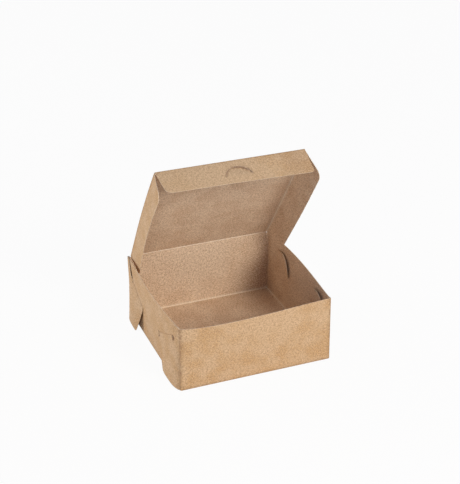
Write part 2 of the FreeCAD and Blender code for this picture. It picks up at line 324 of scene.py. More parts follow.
@dataclass
class Flat:
    """One flat piece of board before it is folded: outline, holes and the lines that the mesh must follow."""

    outline: list[Point]
    holes: list[list[Point]] = field(default_factory=list)
    lines: list[list[Point]] = field(default_factory=list)
    scores: list[tuple[Point, Point]] = field(default_factory=list)
    corners: list[tuple[Point, Point]] = field(default_factory=list)
    painted_shadows: list[tuple[Point, Point]] = field(default_factory=list)
    painted_light_patches: list[PaintedLightPatch] = field(default_factory=list)
    spacing: float = 4.0

    @staticmethod
    def wear(points: np.ndarray, marks: list[tuple[Point, Point]], reach: Pair) -> np.ndarray:
        """How worn the board is by the nearest of some marks.

        Args:
            points: Points of the flat sheet.
            marks: Start and end of each mark.
            reach: Distance within which the board is fully worn, and beyond which it isn't worn at all.

        Returns:
            One value from 0 to 1 a point.
        """
        nearest = np.full(len(points), np.inf)
        for start, end in marks:
            first, along = np.array(start), np.array(end) - np.array(start)
            share = np.clip((points - first) @ along / (along @ along), 0, 1)
            nearest = np.minimum(nearest, np.linalg.norm(points - first - np.outer(share, along), axis=1))
        return 1 - smooth_step(nearest, *reach)

    def looks(self, points: np.ndarray) -> dict[str, np.ndarray]:
        """What the materials read at each point.

        Args:
            points: Points of the flat sheet.

        Returns:
            One value a point for each attribute's name.
        """
        # Down torn nicks, dark painted shadow stands in for the shade in the gaps between the layers.
        nick_shade = NICK_SHADE_STRENGTH * self.wear(points, self.painted_shadows, NICK_SHADE_REACH)
        return {
            WEAR_NAME: self.wear(points, self.scores, WORN),
            CORNER_NAME: np.maximum(self.wear(points, self.corners, WORN), nick_shade),
            PAINTED_LIGHT_NAME: sum((patch.at(points) for patch in self.painted_light_patches), np.zeros(len(points))),
        }

    def triangles(self) -> tuple[np.ndarray, list[tuple[int, ...]]]:
        """Fill the outline with even triangles.

        Returns:
            The points of the mesh, one a row, and the triangles as indices.
        """
        loops = [spread(loop, self.spacing) for loop in (self.outline, *self.holes)]
        runs = [spread(line, self.spacing, closed=False) for line in self.lines]
        points: list[Point] = []
        edges: list[tuple[int, int]] = []
        for loop in loops:
            first = len(points)
            points += loop
            edges += [(first + i, first + (i + 1) % len(loop)) for i in range(len(loop))]
        for run in runs:
            first = len(points)
            points += run
            edges += [(first + i, first + i + 1) for i in range(len(run) - 1)]
        points += [tuple(p) for p in self._filling(np.array(points))]
        vertices, _, faces, *_ = delaunay_2d_cdt([Vector(p) for p in points], edges, [], 0, SAME_POINT)
        flat = np.array([tuple(v) for v in vertices])
        corners = np.array([face for face in faces if len(face) == 3])
        kept = self._on_board(flat[corners].mean(axis=1))
        return flat, [tuple(int(i) for i in face) for face in corners[kept]]

    def _on_board(self, points: np.ndarray) -> np.ndarray:
        """Which points lie inside the outline and outside every hole.

        Args:
            points: Array of points, one a row.

        Returns:
            One truth value a point.
        """
        kept = inside(points, self.outline)
        for hole in self.holes:
            kept &= ~inside(points, hole)
        return kept

    def _filling(self, border: np.ndarray) -> np.ndarray:
        """Points of an offset grid that lie clear of every outline and line.

        Args:
            border: The points on the outlines and lines.

        Returns:
            The grid's points, one a row.
        """
        low, high = border.min(axis=0), border.max(axis=0)
        rows = np.arange(low[1], high[1], self.spacing * ROW_SHARE)
        columns = np.arange(low[0], high[0], self.spacing)
        grid = np.array([
            (x + (self.spacing / 2 if i % 2 else 0), y) for i, y in enumerate(rows) for x in columns
        ])
        grid = grid[self._on_board(grid)]
        nearest = np.full(len(grid), np.inf)
        at_a_time = 400
        for start in range(0, len(border), at_a_time):
            part = border[start:start + at_a_time]
            gaps = np.linalg.norm(grid[:, None, :] - part[None, :, :], axis=2).min(axis=1)
            nearest = np.minimum(nearest, gaps)
        return grid[nearest > self.spacing * CLEAR_SHARE]


# ---------------------------------------------------------------- materials


def linear(code: str) -> tuple[float, float, float, float]:
    """Turn an sRGB hex colour into the linear values that a shader takes.

    Args:
        code: Six hex digits, with or without a leading hash.

    Returns:
        Linear red, green and blue, and an alpha of 1.
    """
    code = code.lstrip("#")
    channels = [int(code[i:i + 2], 16) / 255 for i in (0, 2, 4)]
    values = [c / 12.92 if c <= 0.04045 else ((c + 0.055) / 1.055) ** 2.4 for c in channels]
    return (values[0], values[1], values[2], 1.0)


def add_node(
    tree: bpy.types.NodeTree,
    kind: str,
    settings: dict[str, str | bool] | None = None,
    inputs: dict[str | int, Value] | None = None,
) -> bpy.types.Node:
    """Add a node with its settings, and set or link its inputs.

    Args:
        tree: The node tree.
        kind: The node's type name.
        settings: Properties of the node.
        inputs: Input name or number to a value or to the output socket that feeds it.

    Returns:
        The new node.
    """
    node = tree.nodes.new(kind)
    for name, value in (settings or {}).items():
        setattr(node, name, value)
    for name, value in (inputs or {}).items():
        if isinstance(value, bpy.types.NodeSocket):
            tree.links.new(value, node.inputs[name])
        else:
            node.inputs[name].default_value = value
    return node


def new_material(name: str) -> tuple[bpy.types.Material, bpy.types.NodeTree]:
    """Make a material with nothing in it.

    Args:
        name: The material's name.

    Returns:
        The material and its empty node tree.
    """
    material = bpy.data.materials.new(name)
    material.use_nodes = True
    material.node_tree.nodes.clear()
    return material, material.node_tree


def close_surface(
    tree: bpy.types.NodeTree, relief: Value, relief_mm: float, inputs: dict[str, Value]
) -> None:
    """End a material in a surface with a fine relief.

    Args:
        tree: The material's node tree.
        relief: What the relief follows.
        relief_mm: How deep the relief is.
        inputs: The surface's other inputs.
    """
    bump = add_node(tree, "ShaderNodeBump", {}, {
        "Strength": 0.4, "Distance": relief_mm * MM, "Height": relief})
    shader = add_node(tree, "ShaderNodeBsdfPrincipled", {}, {**inputs, "Normal": bump.outputs["Normal"]})
    add_node(tree, "ShaderNodeOutputMaterial", {}, {"Surface": shader.outputs["BSDF"]})


@dataclass(frozen=True)
class KraftBoard:
    """Unbleached kraft paperboard from a cylinder machine: matt, warm brown, finely mottled, softly clouded.

    The fibres themselves are about 0.03 mm across and don't show at this size, so they are drawn half a
    millimetre across, and the mottle that they make at two to three millimetres. The marks are the
    attributes that bring out the crease's colour; on the outer face that colour is also painted shade.
    """

    name: str
    base: str
    pale: str
    deep: str
    crease: str
    crease_amount: float
    marks: tuple[str, ...]
    cloud_mm: float = 30.0
    mottle_mm: float = 3.4
    grain_mm: float = 1.7
    fibre_mm: float = 0.55
    fibre_squeeze: float = 0.16
    fibre_turns: Pair = (0.3, -1.1)
    ragged_from: float = 0.45
    roughness: Pair = (0.68, 0.82)
    ior: float = 1.47
    specular: float = 0.3
    relief_mm: float = 0.08

    def build(self) -> bpy.types.Material:
        """Make the material on the flat sheet's own coordinates, so that the pattern runs across the folds.

        Returns:
            The material.
        """
        material, tree = new_material(self.name)
        flat = add_node(tree, "ShaderNodeUVMap", {"uv_map": UV_NAME}).outputs["UV"]
        # Each noise's grain in millimetres, its detail, and how its grains are squeezed and turned.
        noises = {
            "clouds": (self.cloud_mm, 2.0, 1.0, 0.0),
            "mottle": (self.mottle_mm, 3.0, 1.0, 0.0),
            "grain": (self.grain_mm, 1.0, 1.0, 0.0),
            "along": (self.fibre_mm, 1.0, self.fibre_squeeze, self.fibre_turns[0]),
            "across": (self.fibre_mm, 1.0, self.fibre_squeeze, self.fibre_turns[1]),
        }
        values: dict[str, Value] = {}
        for name, (size_mm, detail, squeeze, turn) in noises.items():
            scale = 1 / (size_mm * MM)
            placed = add_node(tree, "ShaderNodeMapping", {}, {
                "Vector": flat, "Rotation": (0, 0, turn), "Scale": (scale * squeeze, scale, 1)})
            noise = add_node(tree, "ShaderNodeTexNoise", {"noise_dimensions": "2D"}, {
                "Vector": placed.outputs["Vector"], "Scale": 1.0, "Detail": detail, "Roughness": 0.55})
            values[name] = noise.outputs["Fac"]
        for name in (PAINTED_LIGHT_NAME, *self.marks):
            values[name] = add_node(tree, "ShaderNodeAttribute", {"attribute_name": name}).outputs["Fac"]

        # What covers the base in turn: a value, its colour, where it starts and is full, and its most.
        covers = (
            ("clouds", self.pale, 0.36, 0.64, 0.95),
            # The painted light attribute paints light in the pale colour and shade in the deep one.
            (PAINTED_LIGHT_NAME, self.pale, 0.0, 1.0, 1.0),
            (PAINTED_LIGHT_NAME, self.deep, 0.0, -1.0, 1.0),
            ("mottle", self.deep, 0.42, 0.68, 0.65),
            ("grain", self.pale, 0.48, 0.68, 0.80),
            ("grain", self.deep, 0.50, 0.30, 0.75),
            ("along", self.pale, 0.52, 0.74, 0.50),
            ("across", self.deep, 0.54, 0.76, 0.50),
        )
        colour: Value = linear(self.base)
        for name, code, start, full, most in covers:
            amount = add_node(tree, "ShaderNodeMapRange", {"clamp": True}, {
                "Value": values[name], "From Min": start, "From Max": full, "To Min": 0.0, "To Max": most})
            colour = add_node(tree, "ShaderNodeMix", {"data_type": "RGBA"}, {
                "Factor": amount.outputs["Result"], 6: colour, 7: linear(code)}).outputs[2]

        # The mottle makes the worn board ragged, and varies how matt all of it is.
        by_mottle = {"Value": values["mottle"], "From Min": 0.35, "From Max": 0.65}
        # On the outer face the marks' crease colour is partly real wear and partly painted shade.
        worn = values[self.marks[0]]
        for name in self.marks[1:]:
            worn = add_node(tree, "ShaderNodeMath", {"operation": "MAXIMUM"}, {
                0: worn, 1: values[name]}).outputs[0]
        ragged = add_node(tree, "ShaderNodeMapRange", {"clamp": True}, {
            **by_mottle, "To Min": self.ragged_from * self.crease_amount, "To Max": self.crease_amount})
        worn = add_node(tree, "ShaderNodeMath", {"operation": "MULTIPLY"}, {
            0: worn, 1: ragged.outputs["Result"]}).outputs[0]
        colour = add_node(tree, "ShaderNodeMix", {"data_type": "RGBA"}, {
            "Factor": worn, 6: colour, 7: linear(self.crease)}).outputs[2]
        matt = add_node(tree, "ShaderNodeMapRange", {"clamp": True}, {
            **by_mottle, "To Min": self.roughness[0], "To Max": self.roughness[1]})

        relief = values["grain"]
        for name in ("mottle", "along"):
            relief = add_node(tree, "ShaderNodeMath", {"operation": "ADD"}, {
                0: relief, 1: values[name]}).outputs[0]
        close_surface(tree, relief, self.relief_mm, {
            "Base Color": colour, "Roughness": matt.outputs["Result"],
            "IOR": self.ior, "Specular IOR Level": self.specular})
        return material


@dataclass(frozen=True)
class BrokenFibre:
    """Kraft board where a knife or a scoring rule has broken its skin: paler, dry and ragged."""

    name: str
    base: str
    pale: str
    grain_mm: float = 1.6
    roughness: float = 0.95
    specular: float = 0.2
    relief_mm: float = 0.1

    def build(self) -> bpy.types.Material:
        """Make the material on object coordinates.

        Returns:
            The material.
        """
        material, tree = new_material(self.name)
        place = add_node(tree, "ShaderNodeTexCoord").outputs["Object"]
        noise = add_node(tree, "ShaderNodeTexNoise", {}, {
            "Vector": place, "Scale": 1 / (self.grain_mm * MM), "Detail": 3.0, "Roughness": 0.6})
        grain = noise.outputs["Fac"]
        amount = add_node(tree, "ShaderNodeMapRange", {"clamp": True}, {
            "Value": grain, "From Min": 0.4, "From Max": 0.62})
        colour = add_node(tree, "ShaderNodeMix", {"data_type": "RGBA"}, {
            "Factor": amount.outputs["Result"], 6: linear(self.base), 7: linear(self.pale)})
        close_surface(tree, grain, self.relief_mm, {
            "Base Color": colour.outputs[2], "Roughness": self.roughness,
            "Specular IOR Level": self.specular})
        return material


@dataclass(frozen=True)
class Finishes:
    """The finishes of the box, built once."""

    inner: bpy.types.Material
    outer: bpy.types.Material
    cut_edge: bpy.types.Material
    score: bpy.types.Material

    @classmethod
    def build(cls) -> "Finishes":
        """Make every material.

        Returns:
            The finishes.
        """
        return cls(
            # The inner face, turned to the food: paler and greyer than the outer as a painted shade tint for
            # the shaded inside, and its scores show as pale raised lines, partly painted highlight.
            inner=KraftBoard(
                "kraft_board_inner", base="#D5B594", pale="#ECD4B6", deep="#A8886D",
                crease="#F3E4CD", crease_amount=0.75, marks=(WEAR_NAME,),
            ).build(),
            # The outer face, the lit copy of the board: warmer, and its skin is browned where it is stretched
            # over a fold; that brown also paints shade at the ear folds, down torn nicks and along the thumb
            # cut.
            outer=KraftBoard(
                "kraft_board_outer", base="#CAA06B", pale="#DCBC94", deep="#A88462",
                crease="#7A5638", crease_amount=0.5, marks=(WEAR_NAME, CORNER_NAME),
            ).build(),
            # A knife leaves open, dry, paler fibre; it is made paler still as a painted highlight along the
            # lit rims.
            cut_edge=BrokenFibre("cut_board_edge", base="#DAC19E", pale="#F2E4CC").build(),
            # A scoring rule breaks the skin and lifts the fibre into a paler ridge, made paler still as a
            # painted highlight along the creases.
            score=BrokenFibre("scored_board", base="#EBD5B8", pale="#FBF1E0").build(),
        )


# ---------------------------------------------------------------- making board


def add_object(name: str, data: bpy.types.ID) -> bpy.types.Object:
    """Put an object into the scene.

    Args:
        name: Its name.
        data: Its mesh, curve, lamp or camera.

    Returns:
        The object.
    """
    item = bpy.data.objects.new(name, data)
    bpy.context.scene.collection.objects.link(item)
    return item


def plain_mesh(item: bpy.types.Object) -> bpy.types.Mesh:
    """The mesh that an object's modifiers make of it."""
    graph = bpy.context.evaluated_depsgraph_get()
    return bpy.data.meshes.new_from_object(item.evaluated_get(graph))


def smooth(piece: bpy.types.Object, sharp_degrees: float) -> None:
    """Shade a mesh smooth, apart from its sharp edges.

    Args:
        piece: The mesh object.
        sharp_degrees: The angle past which an edge stays sharp.
    """
    for polygon in piece.data.polygons:
        polygon.use_smooth = True
    piece.data.set_sharp_from_angle(angle=math.radians(sharp_degrees))


def lay_out(mesh: bpy.types.Mesh, points: np.ndarray, looks: dict[str, np.ndarray]) -> None:
    """Store what the materials read of a folded mesh.

    Args:
        mesh: The mesh.
        points: Each vertex's place on the flat sheet, in millimetres.
        looks: Attribute names, each with one value a vertex.
    """
    corners = np.zeros(len(mesh.loops), np.int32)
    mesh.loops.foreach_get("vertex_index", corners)
    mesh.uv_layers.new(name=UV_NAME).data.foreach_set("uv", (points[corners] * MM).astype(np.float32).ravel())
    for name, values in looks.items():
        mesh.attributes.new(name, "FLOAT", "POINT").data.foreach_set("value", values.astype(np.float32))


def thicken(name: str, mesh: bpy.types.Mesh, sizes: BoxSizes, finishes: Finishes) -> bpy.types.Object:
    """Give a sheet the board's thickness, its two faces and its cut edge.

    Args:
        name: The piece's name.
        mesh: The board's middle, with its faces turned inwards.
        sizes: Sizes of the box.
        finishes: The finishes.

    Returns:
        The finished object.
    """
    for finish in (finishes.inner, finishes.outer, finishes.cut_edge):
        mesh.materials.append(finish)
    piece = add_object(name, mesh)
    skin = piece.modifiers.new("thickness", "SOLIDIFY")
    skin.thickness = sizes.board * MM
    skin.offset = 0.0
    skin.material_offset = 1
    skin.material_offset_rim = 2
    thick = plain_mesh(piece)
    piece.modifiers.clear()
    piece.data = thick
    smooth(piece, BOARD_SHARP)
    return piece


def fold_up(
    name: str,
    flat: Flat,
    shape: Callable[[np.ndarray], np.ndarray],
    sizes: BoxSizes,
    finishes: Finishes,
) -> bpy.types.Object:
    """Fold a flat piece into shape and give it the board's thickness.

    Args:
        name: The piece's name.
        flat: The flat piece, in millimetres.
        shape: Takes flat points, gives folded points of the board's middle, both in millimetres.
        sizes: Sizes of the box.
        finishes: The finishes.

    Returns:
        The finished object, at the origin, with its place in its mesh.
    """
    points, faces = flat.triangles()
    used = np.unique(np.array(faces))
    renumber = np.full(len(points), -1)
    renumber[used] = np.arange(len(used))
    points = points[used]
    folded = shape(points) * MM
    mesh = bpy.data.meshes.new(name)
    mesh.from_pydata(folded.tolist(), [], [tuple(int(renumber[i]) for i in face) for face in faces])
    lay_out(mesh, points, flat.looks(points))
    return thicken(name, mesh, sizes, finishes)


def turn_fold(run: np.ndarray, sizes: BoxSizes) -> tuple[np.ndarray, np.ndarray]:
    """Carry board round a right-angled fold.

    Args:
        run: Distance along the board past the start of the fold; below 0 it is still flat.
        sizes: Sizes of the box.

    Returns:
        How far the point has gone in the old direction, and how far in the new one.
    """
    angle = np.clip(run / sizes.bend, 0, math.pi / 2)
    ahead = np.minimum(run, 0) + sizes.bend * np.sin(angle)
    risen = sizes.bend * (1 - np.cos(angle)) + np.maximum(run - sizes.bend_length, 0)
    return ahead, risen


def fold_lines(sizes: BoxSizes, at: float, reach: float, upright: bool) -> list[list[Point]]:
    """Mesh lines across a fold at the floor's edge, so that it bends roundly.

    Args:
        sizes: Sizes of the box.
        at: Where the fold starts, with its sign.
        reach: Half of the fold's length.
        upright: Whether the fold runs along the sheet's second axis.

    Returns:
        Lines for Flat.
    """
    lines = []
    for quarter in FOLD_QUARTERS:
        # Every line lies outwards of the fold's start, so the first falls between two others of the bend.
        place = at + math.copysign(sizes.bend_length * quarter / 4, at)
        end = reach - FLOOR_FOLD_SHORT if quarter < 0 else reach
        lines.append([(place, -end), (place, end)] if upright else [(-end, place), (end, place)])
    return lines


# ---------------------------------------------------------------- tray


@dataclass
class EarLock:
    """A corner ear with its half-moon hook, in millimetres from the corner (run) and up from the table.

    The slit runs from near, its upper end, to far, and points beside it are given along and above it. The
    finger is the narrow strip past the slit's far end, and the heel the ear's edge short of its near end.
    Pairs for the painted nick shadows go near, far.
    """

    sizes: BoxSizes
    rim_run: float = 14.0
    rim_drop: float = 0.5
    tip_run: float = 56.0
    tip_radius: float = 5.0
    near_run: float = 23.0
    near_drop: float = 31.5
    far_run: float = 72.0
    far_drop: float = 51.0
    hook_rise: float = 23.4
    hook_inset: float = 1.0
    hook_clear: float = 0.1
    nick: float = 3.0
    near_nick: float = 0.5
    far_nick: float = 0.5
    finger: tuple[Pair, ...] = ((1.7, -1.2), (1.1, 0.5), (0.7, 0.5))
    finger_root: float = 0.5
    stump: float = 1.6
    heel: tuple[Pair, ...] = ((-0.7, 0.5), (-1.3, 0.9))
    slit_above: float = 0.8
    slit_below: float = 1.7
    slit_short: float = 0.8
    slope: float = 1.0
    torn: bool = False
    tear_inset: Pair = (0.0, 0.6)
    tear_top: Pair = (-2.0, -0.6)
    tear_below: float = 1.0
    lower_edge: float = 1.0
    spring: float = 7.0
    spring_start: float = 9.0
    spring_curve: float = 1.05
    tip_return: Triple = (0.2, 48.0, 64.0)
    loose: float = 1.5
    loose_run: Pair = (4.0, 22.0)
    loose_rise: float = 12.0
    hook_lift: Pair = (1.5, 3.5)
    hook_curl: float = 0.4

    @property
    def near(self) -> np.ndarray:
        """Upper end of the slit."""
        return np.array((self.near_run, self.sizes.rim - self.near_drop))

    @property
    def far(self) -> np.ndarray:
        """Lower end of the slit."""
        return np.array((self.far_run, self.sizes.rim - self.far_drop))

    @property
    def length(self) -> float:
        """Length of the slit."""
        return float(np.linalg.norm(self.far - self.near))

    @property
    def along(self) -> np.ndarray:
        """Unit vector down the slit."""
        return (self.far - self.near) / self.length

    @property
    def above(self) -> np.ndarray:
        """Unit vector square to the slit, upwards."""
        return np.array((-self.along[1], self.along[0]))

    def at(self, along: float, above: float) -> Point:
        """A point given along and above the slit."""
        place = self.near + self.along * along + self.above * above
        return (float(place[0]), float(place[1]))

    def outline(self) -> list[Point]:
        """The ear's edge, with its hook standing over two nicks.

        Returns:
            Points from the foot of the ear's fold round to the top of its fold.
        """
        foot = (self.sizes.bend_inside, self.lower_edge)
        tip = (self.tip_run, self.lower_edge)
        end, low = self.length, -self.nick
        arc = [self.at(end / 2 - x, y) for x, y in crescent(end / 2 - self.hook_inset, self.hook_rise)]
        finger = [self.at(end + past, above) for past, above in self.finger]
        # A torn ear has lost its finger, down to a stump.
        past_slit = [self.at(end + self.stump, low)]
        if not self.torn:
            past_slit = [*finger, self.at(end + self.finger_root, low)]
        return [
            foot,
            *rounded(foot, tip, finger[0], self.tip_radius),
            *past_slit,
            self.at(end - self.far_nick, low),
            *arc,
            self.at(self.near_nick, low), self.at(-self.near_nick, low),
            *(self.at(*spot) for spot in self.heel),
            (self.rim_run, self.sizes.rim - self.rim_drop),
            (self.sizes.bend_inside, self.sizes.rim),
        ]

    def slit(self) -> list[Point]:
        """The slit in the side wall, open along its lower edge where the board slopes through.

        Returns:
            Its four corners.
        """
        left, right = self.slit_short, self.length - self.slit_short
        high, low = self.slit_above, -self.slit_below
        return [self.at(*corner) for corner in ((left, low), (right, low), (right, high), (left, high))]

    def nick_shadows(self) -> list[list[Point]]:
        """Where dark painted shadow goes down a torn ear's two nicks.

        Returns:
            A line down each nick, or none for a whole ear.
        """
        if not self.torn:
            return []
        low = -self.nick - self.tear_below
        places = (self.tear_inset[0], self.length - self.tear_inset[1])
        return [[self.at(along, top), self.at(along, low)] for along, top in zip(places, self.tear_top)]

    def neck_lines(self) -> list[list[Point]]:
        """Mesh lines along the part that slopes through the slit."""
        start, end = NECK_INSET, self.length - NECK_INSET
        return [[self.at(start, self.slope * h), self.at(end, self.slope * h)] for h in (-1, -0.5, 0, 0.5, 1)]

    def stand_off(self, run: np.ndarray, height: np.ndarray) -> np.ndarray:
        """How far the board's middle stands out from the middle of the side wall.

        Args:
            run: Distances from the corner.
            height: Heights above the table.

        Returns:
            Distances outwards; negative is inside the wall.
        """
        place = np.stack((run, height), axis=1) - self.near
        along, above = place @ self.along, place @ self.above
        layer = self.sizes.board + self.sizes.layer_gap
        hooked = (along > self.hook_clear) & (along < self.length - self.hook_clear)
        through = np.where(hooked, smooth_step(above, -self.slope, self.slope), 0.0)

        # Inside the wall, the hook curls away from it.
        near_lift, far_lift = self.hook_lift
        lift = near_lift + (far_lift - near_lift) * np.clip(along / self.length, 0, 1)
        lift = lift * np.clip(above / self.hook_rise, 0, 1) ** self.hook_curl

        # Outside, the ear springs off the wall below the line where the fold and the slit pin it.
        pinned = np.where(
            run < self.near_run,
            self.sizes.rim - run * self.near_drop / self.near_run,
            self.near[1] + (run - self.near_run) * self.along[1] / self.along[0],
        )
        free = np.clip((pinned - height) / pinned, 0, 1)
        back, *tip = self.tip_return
        hump = (1 - np.exp(-run / self.spring_start)) * (1 - back * smooth_step(run, *tip))
        sprung = self.spring * hump * free**self.spring_curve

        # Above that line its top stands a little loose.
        loose_top = self.loose * smooth_step(run, *self.loose_run)
        loose_top = loose_top * smooth_step(height, self.near[1], self.near[1] + self.loose_rise)
        outside = layer + sprung + np.where(above > 0, loose_top, 0.0)
        return outside * (1 - through) - (layer + lift) * through


@dataclass
class Tray:
    """Floor, walls, ears and hooks, all one piece of board."""

    sizes: BoxSizes
    finishes: Finishes
    crease_half: float = 2.4
    crease_notch: float = 0.15
    corner_gap: float = 0.1
    relief: float = 0.2
    side_bow: dict[Side, Pair] = field(
        default_factory=lambda: {Side.LEFT: (5.6, 0.40), Side.RIGHT: (6.2, 0.60)})
    side_fullness: float = 0.3
    front_bow: float = 9.3
    front_lean: Pair = (0.7, 1.5)
    front_curve: float = 1.15
    rear_bow: float = 1.2
    ear_turn: Pair = (0.3, 3.0)
    corner_shift: dict[tuple[Side, End], Pair] = field(default_factory=lambda: {
        (Side.LEFT, End.FRONT): (-0.6, -2.0), (Side.RIGHT, End.FRONT): (-1.3, -0.2),
        (Side.LEFT, End.REAR): (-2.4, 0.0), (Side.RIGHT, End.REAR): (0.8, 0.0)})

    def __post_init__(self) -> None:
        """Work out the sheet's landmarks."""
        self.locks = {
            (Side.LEFT, End.FRONT): EarLock(
                self.sizes, rim_run=16.0, near_run=23.0, near_drop=22.5, far_run=83.0, far_drop=51.5,
                tip_run=60.0, spring=7.2, nick=4.0, near_nick=1.2, far_nick=2.4, torn=True),
            (Side.LEFT, End.REAR): EarLock(
                self.sizes, rim_run=9.0, near_run=21.5, near_drop=32.0, far_run=69.0, far_drop=53.5,
                tip_run=52.0, spring=9.8),
            (Side.RIGHT, End.FRONT): EarLock(
                self.sizes, rim_run=6.0, near_run=17.5, near_drop=23.0, far_run=68.5, far_drop=43.5,
                spring=5.8, hook_lift=(4.8, 3.0)),
            (Side.RIGHT, End.REAR): EarLock(
                self.sizes, rim_run=6.0, near_run=27.0, near_drop=27.0, far_run=78.0, far_drop=47.0,
                spring=6.4, hook_lift=(1.5, 4.9)),
        }
        self.lower_edge = self.locks[Side.LEFT, End.FRONT].lower_edge
        self.flat_x = self.sizes.half_width - self.sizes.bend
        self.flat_y = self.sizes.half_depth - self.sizes.bend
        self.floor_z = self.sizes.board / 2
        self.ear_x = self.sizes.half_width + self.sizes.board + self.sizes.layer_gap
        self.ear_fold = self.ear_x - self.sizes.bend
        self.corner_y = self.sizes.half_depth - self.sizes.board / 2
        self.foot = self.floor_z + self.sizes.bend

    def on_sheet(self, height: float) -> float:
        """Distance past the floor's edge on the flat sheet for a height up a wall."""
        return self.sizes.bend_length + height - self.foot

    def side_wall(self, side: Side) -> list[Point]:
        """Outline of a side wall on the sheet.

        Args:
            side: Which wall.

        Returns:
            Its corners, from its front foot to its rear foot.
        """
        foot = side.value * self.flat_x
        top = side.value * (self.flat_x + self.on_sheet(self.sizes.rim))
        reach = self.flat_y - self.corner_gap
        return [(foot, -reach), (top, -reach), (top, reach), (foot, reach)]

    def on_ear(self, side: Side, end: End, spots: Sequence[Point]) -> list[Point]:
        """Where spots of an ear lie on the flat sheet.

        Args:
            side: The ear's side.
            end: The ear's end.
            spots: Pairs of run and height.

        Returns:
            Their places on the sheet.
        """
        start = self.ear_fold + self.sizes.bend_length - self.sizes.bend_inside
        return [
            (side.value * (start + run), end.value * (self.flat_y + self.on_sheet(height)))
            for run, height in spots
        ]

    def behind_ear(self, side: Side, end: End, spots: Sequence[Point]) -> list[Point]:
        """Where the parts of a side wall that lie behind spots of an ear are on the flat sheet.

        Args:
            side: The ear's side.
            end: The ear's end.
            spots: Pairs of run and height.

        Returns:
            Their places on the sheet.
        """
        return [
            (side.value * (self.flat_x + self.on_sheet(height)), end.value * (self.corner_y - run))
            for run, height in spots
        ]

    def end_wall(self, end: End) -> list[Point]:
        """Outline of the front or rear wall with its two ears.

        Args:
            end: Which wall.

        Returns:
            Its corners, from its left foot to its right foot.
        """
        foot_y = end.value * self.flat_y
        relief_y = end.value * (self.flat_y + self.on_sheet(self.lower_edge))
        rim_y = end.value * (self.flat_y + self.on_sheet(self.sizes.rim))
        fold_x = self.ear_fold
        # Between the ears the rear wall stops below the rim, where the lid's crease takes over.
        step = []
        if end is End.REAR:
            low_y = end.value * (self.flat_y + self.on_sheet(self.sizes.hinge_z - self.crease_half))
            width = self.sizes.lid_half_width - self.sizes.bend
            notch = width + self.crease_notch
            step = [(-notch, rim_y), (-width, low_y), (width, low_y), (notch, rim_y)]
        left, right = (self.on_ear(side, end, self.locks[side, end].outline()) for side in Side)
        return [
            (-self.flat_x, foot_y), (-fold_x, foot_y + end.value * self.relief), (-fold_x, relief_y),
            *left, (-fold_x, rim_y), *step, (fold_x, rim_y), *reversed(right),
            (fold_x, relief_y), (fold_x, foot_y + end.value * self.relief), (self.flat_x, foot_y),
        ]

    def flat(self) -> Flat:
        """The whole tray as it was cut.

        Returns:
            The flat piece.
        """
        outline = [
            *self.end_wall(End.REAR),
            *reversed(self.side_wall(Side.RIGHT)),
            *reversed(self.end_wall(End.FRONT)),
            *self.side_wall(Side.LEFT),
        ]
        slits, necks, painted_shadows = [], [], []
        for (side, end), lock in self.locks.items():
            slits.append(self.behind_ear(side, end, lock.slit()))
            necks += [self.on_ear(side, end, line) for line in lock.neck_lines()]
            # Down each torn nick, on the ear and on the wall behind it, dark painted shadow stands in for the
            # gap between the layers.
            for tear in lock.nick_shadows():
                behind = self.behind_ear(side, end, tear)
                painted_shadows += [tuple(self.on_ear(side, end, tear)), tuple(behind)]
                necks.append(behind)
        lines, scores, corners = [], [], []
        half_bend = self.sizes.bend_length / 2
        for sign in (-1, 1):
            lines += fold_lines(self.sizes, sign * self.flat_x, self.flat_y - self.corner_gap, upright=True)
            lines += fold_lines(self.sizes, sign * self.flat_y, self.flat_x, upright=False)
            x, y = sign * (self.flat_x + half_bend), sign * (self.flat_y + half_bend)
            scores += [((x, -self.flat_y), (x, self.flat_y)), ((-self.flat_x, y), (self.flat_x, y))]
            low = sign * (self.flat_y + self.on_sheet(self.lower_edge))
            high = sign * (self.flat_y + self.on_sheet(self.sizes.rim))
            for side in (-1, 1):
                for quarter in FOLD_QUARTERS:
                    x = side * (self.ear_fold + self.sizes.bend_length * quarter / 4)
                    lines.append([(x, low), (x, high)])
                # On the outer face the ear folds' dark crease colour is partly crushed fibre and partly
                # painted shade along the turn.
                x = side * (self.ear_fold + half_bend)
                corners.append(((x, low), (x, high)))
        return Flat(outline, slits, necks + lines, scores, corners, painted_shadows, self.painted_light_patches())

    def painted_light_patches(self) -> list[PaintedLightPatch]:
        """Painted light and shade on the front, rear and right walls: a painted sheen high on the front wall,
        painted light high on the rear wall and painted shadow low at its right, and painted light on the
        right wall.

        Returns:
            The painted light and shade, placed on the flat sheet.
        """
        front, rear, right = (-self.flat_y, self.flat_y, self.flat_x)
        return [
            PaintedLightPatch((12.0, front - self.on_sheet(86.0)), (48.0, 30.0), 1.0),
            PaintedLightPatch((5.0, rear + self.on_sheet(78.0)), (80.0, 45.0), 1.2),
            PaintedLightPatch((92.0, rear + self.on_sheet(35.0)), (42.0, 60.0), -1.2),
            PaintedLightPatch((right + self.on_sheet(55.0), -20.0), (40.0, 60.0), 1.0),
        ]

    def height_share(self, z: np.ndarray) -> np.ndarray:
        """Height as a share of the rim's, 0 below the fold."""
        return np.clip((z - self.foot) / (self.sizes.rim - self.foot), 0, 1)

    def bow(self, side: Side, y: np.ndarray, z: np.ndarray) -> np.ndarray:
        """How far a side wall has bowed out.

        Args:
            side: Which wall.
            y: Places along it.
            z: Heights.

        Returns:
            Distances outwards.
        """
        most, peak = self.side_bow[side]
        share = np.clip((y + self.flat_y) / (2 * self.flat_y), 0, 1)
        rise, fall = 2 * peak + self.side_fullness, 2 * (1 - peak) + self.side_fullness
        return most * lopsided(share, rise, fall) * self.height_share(z)

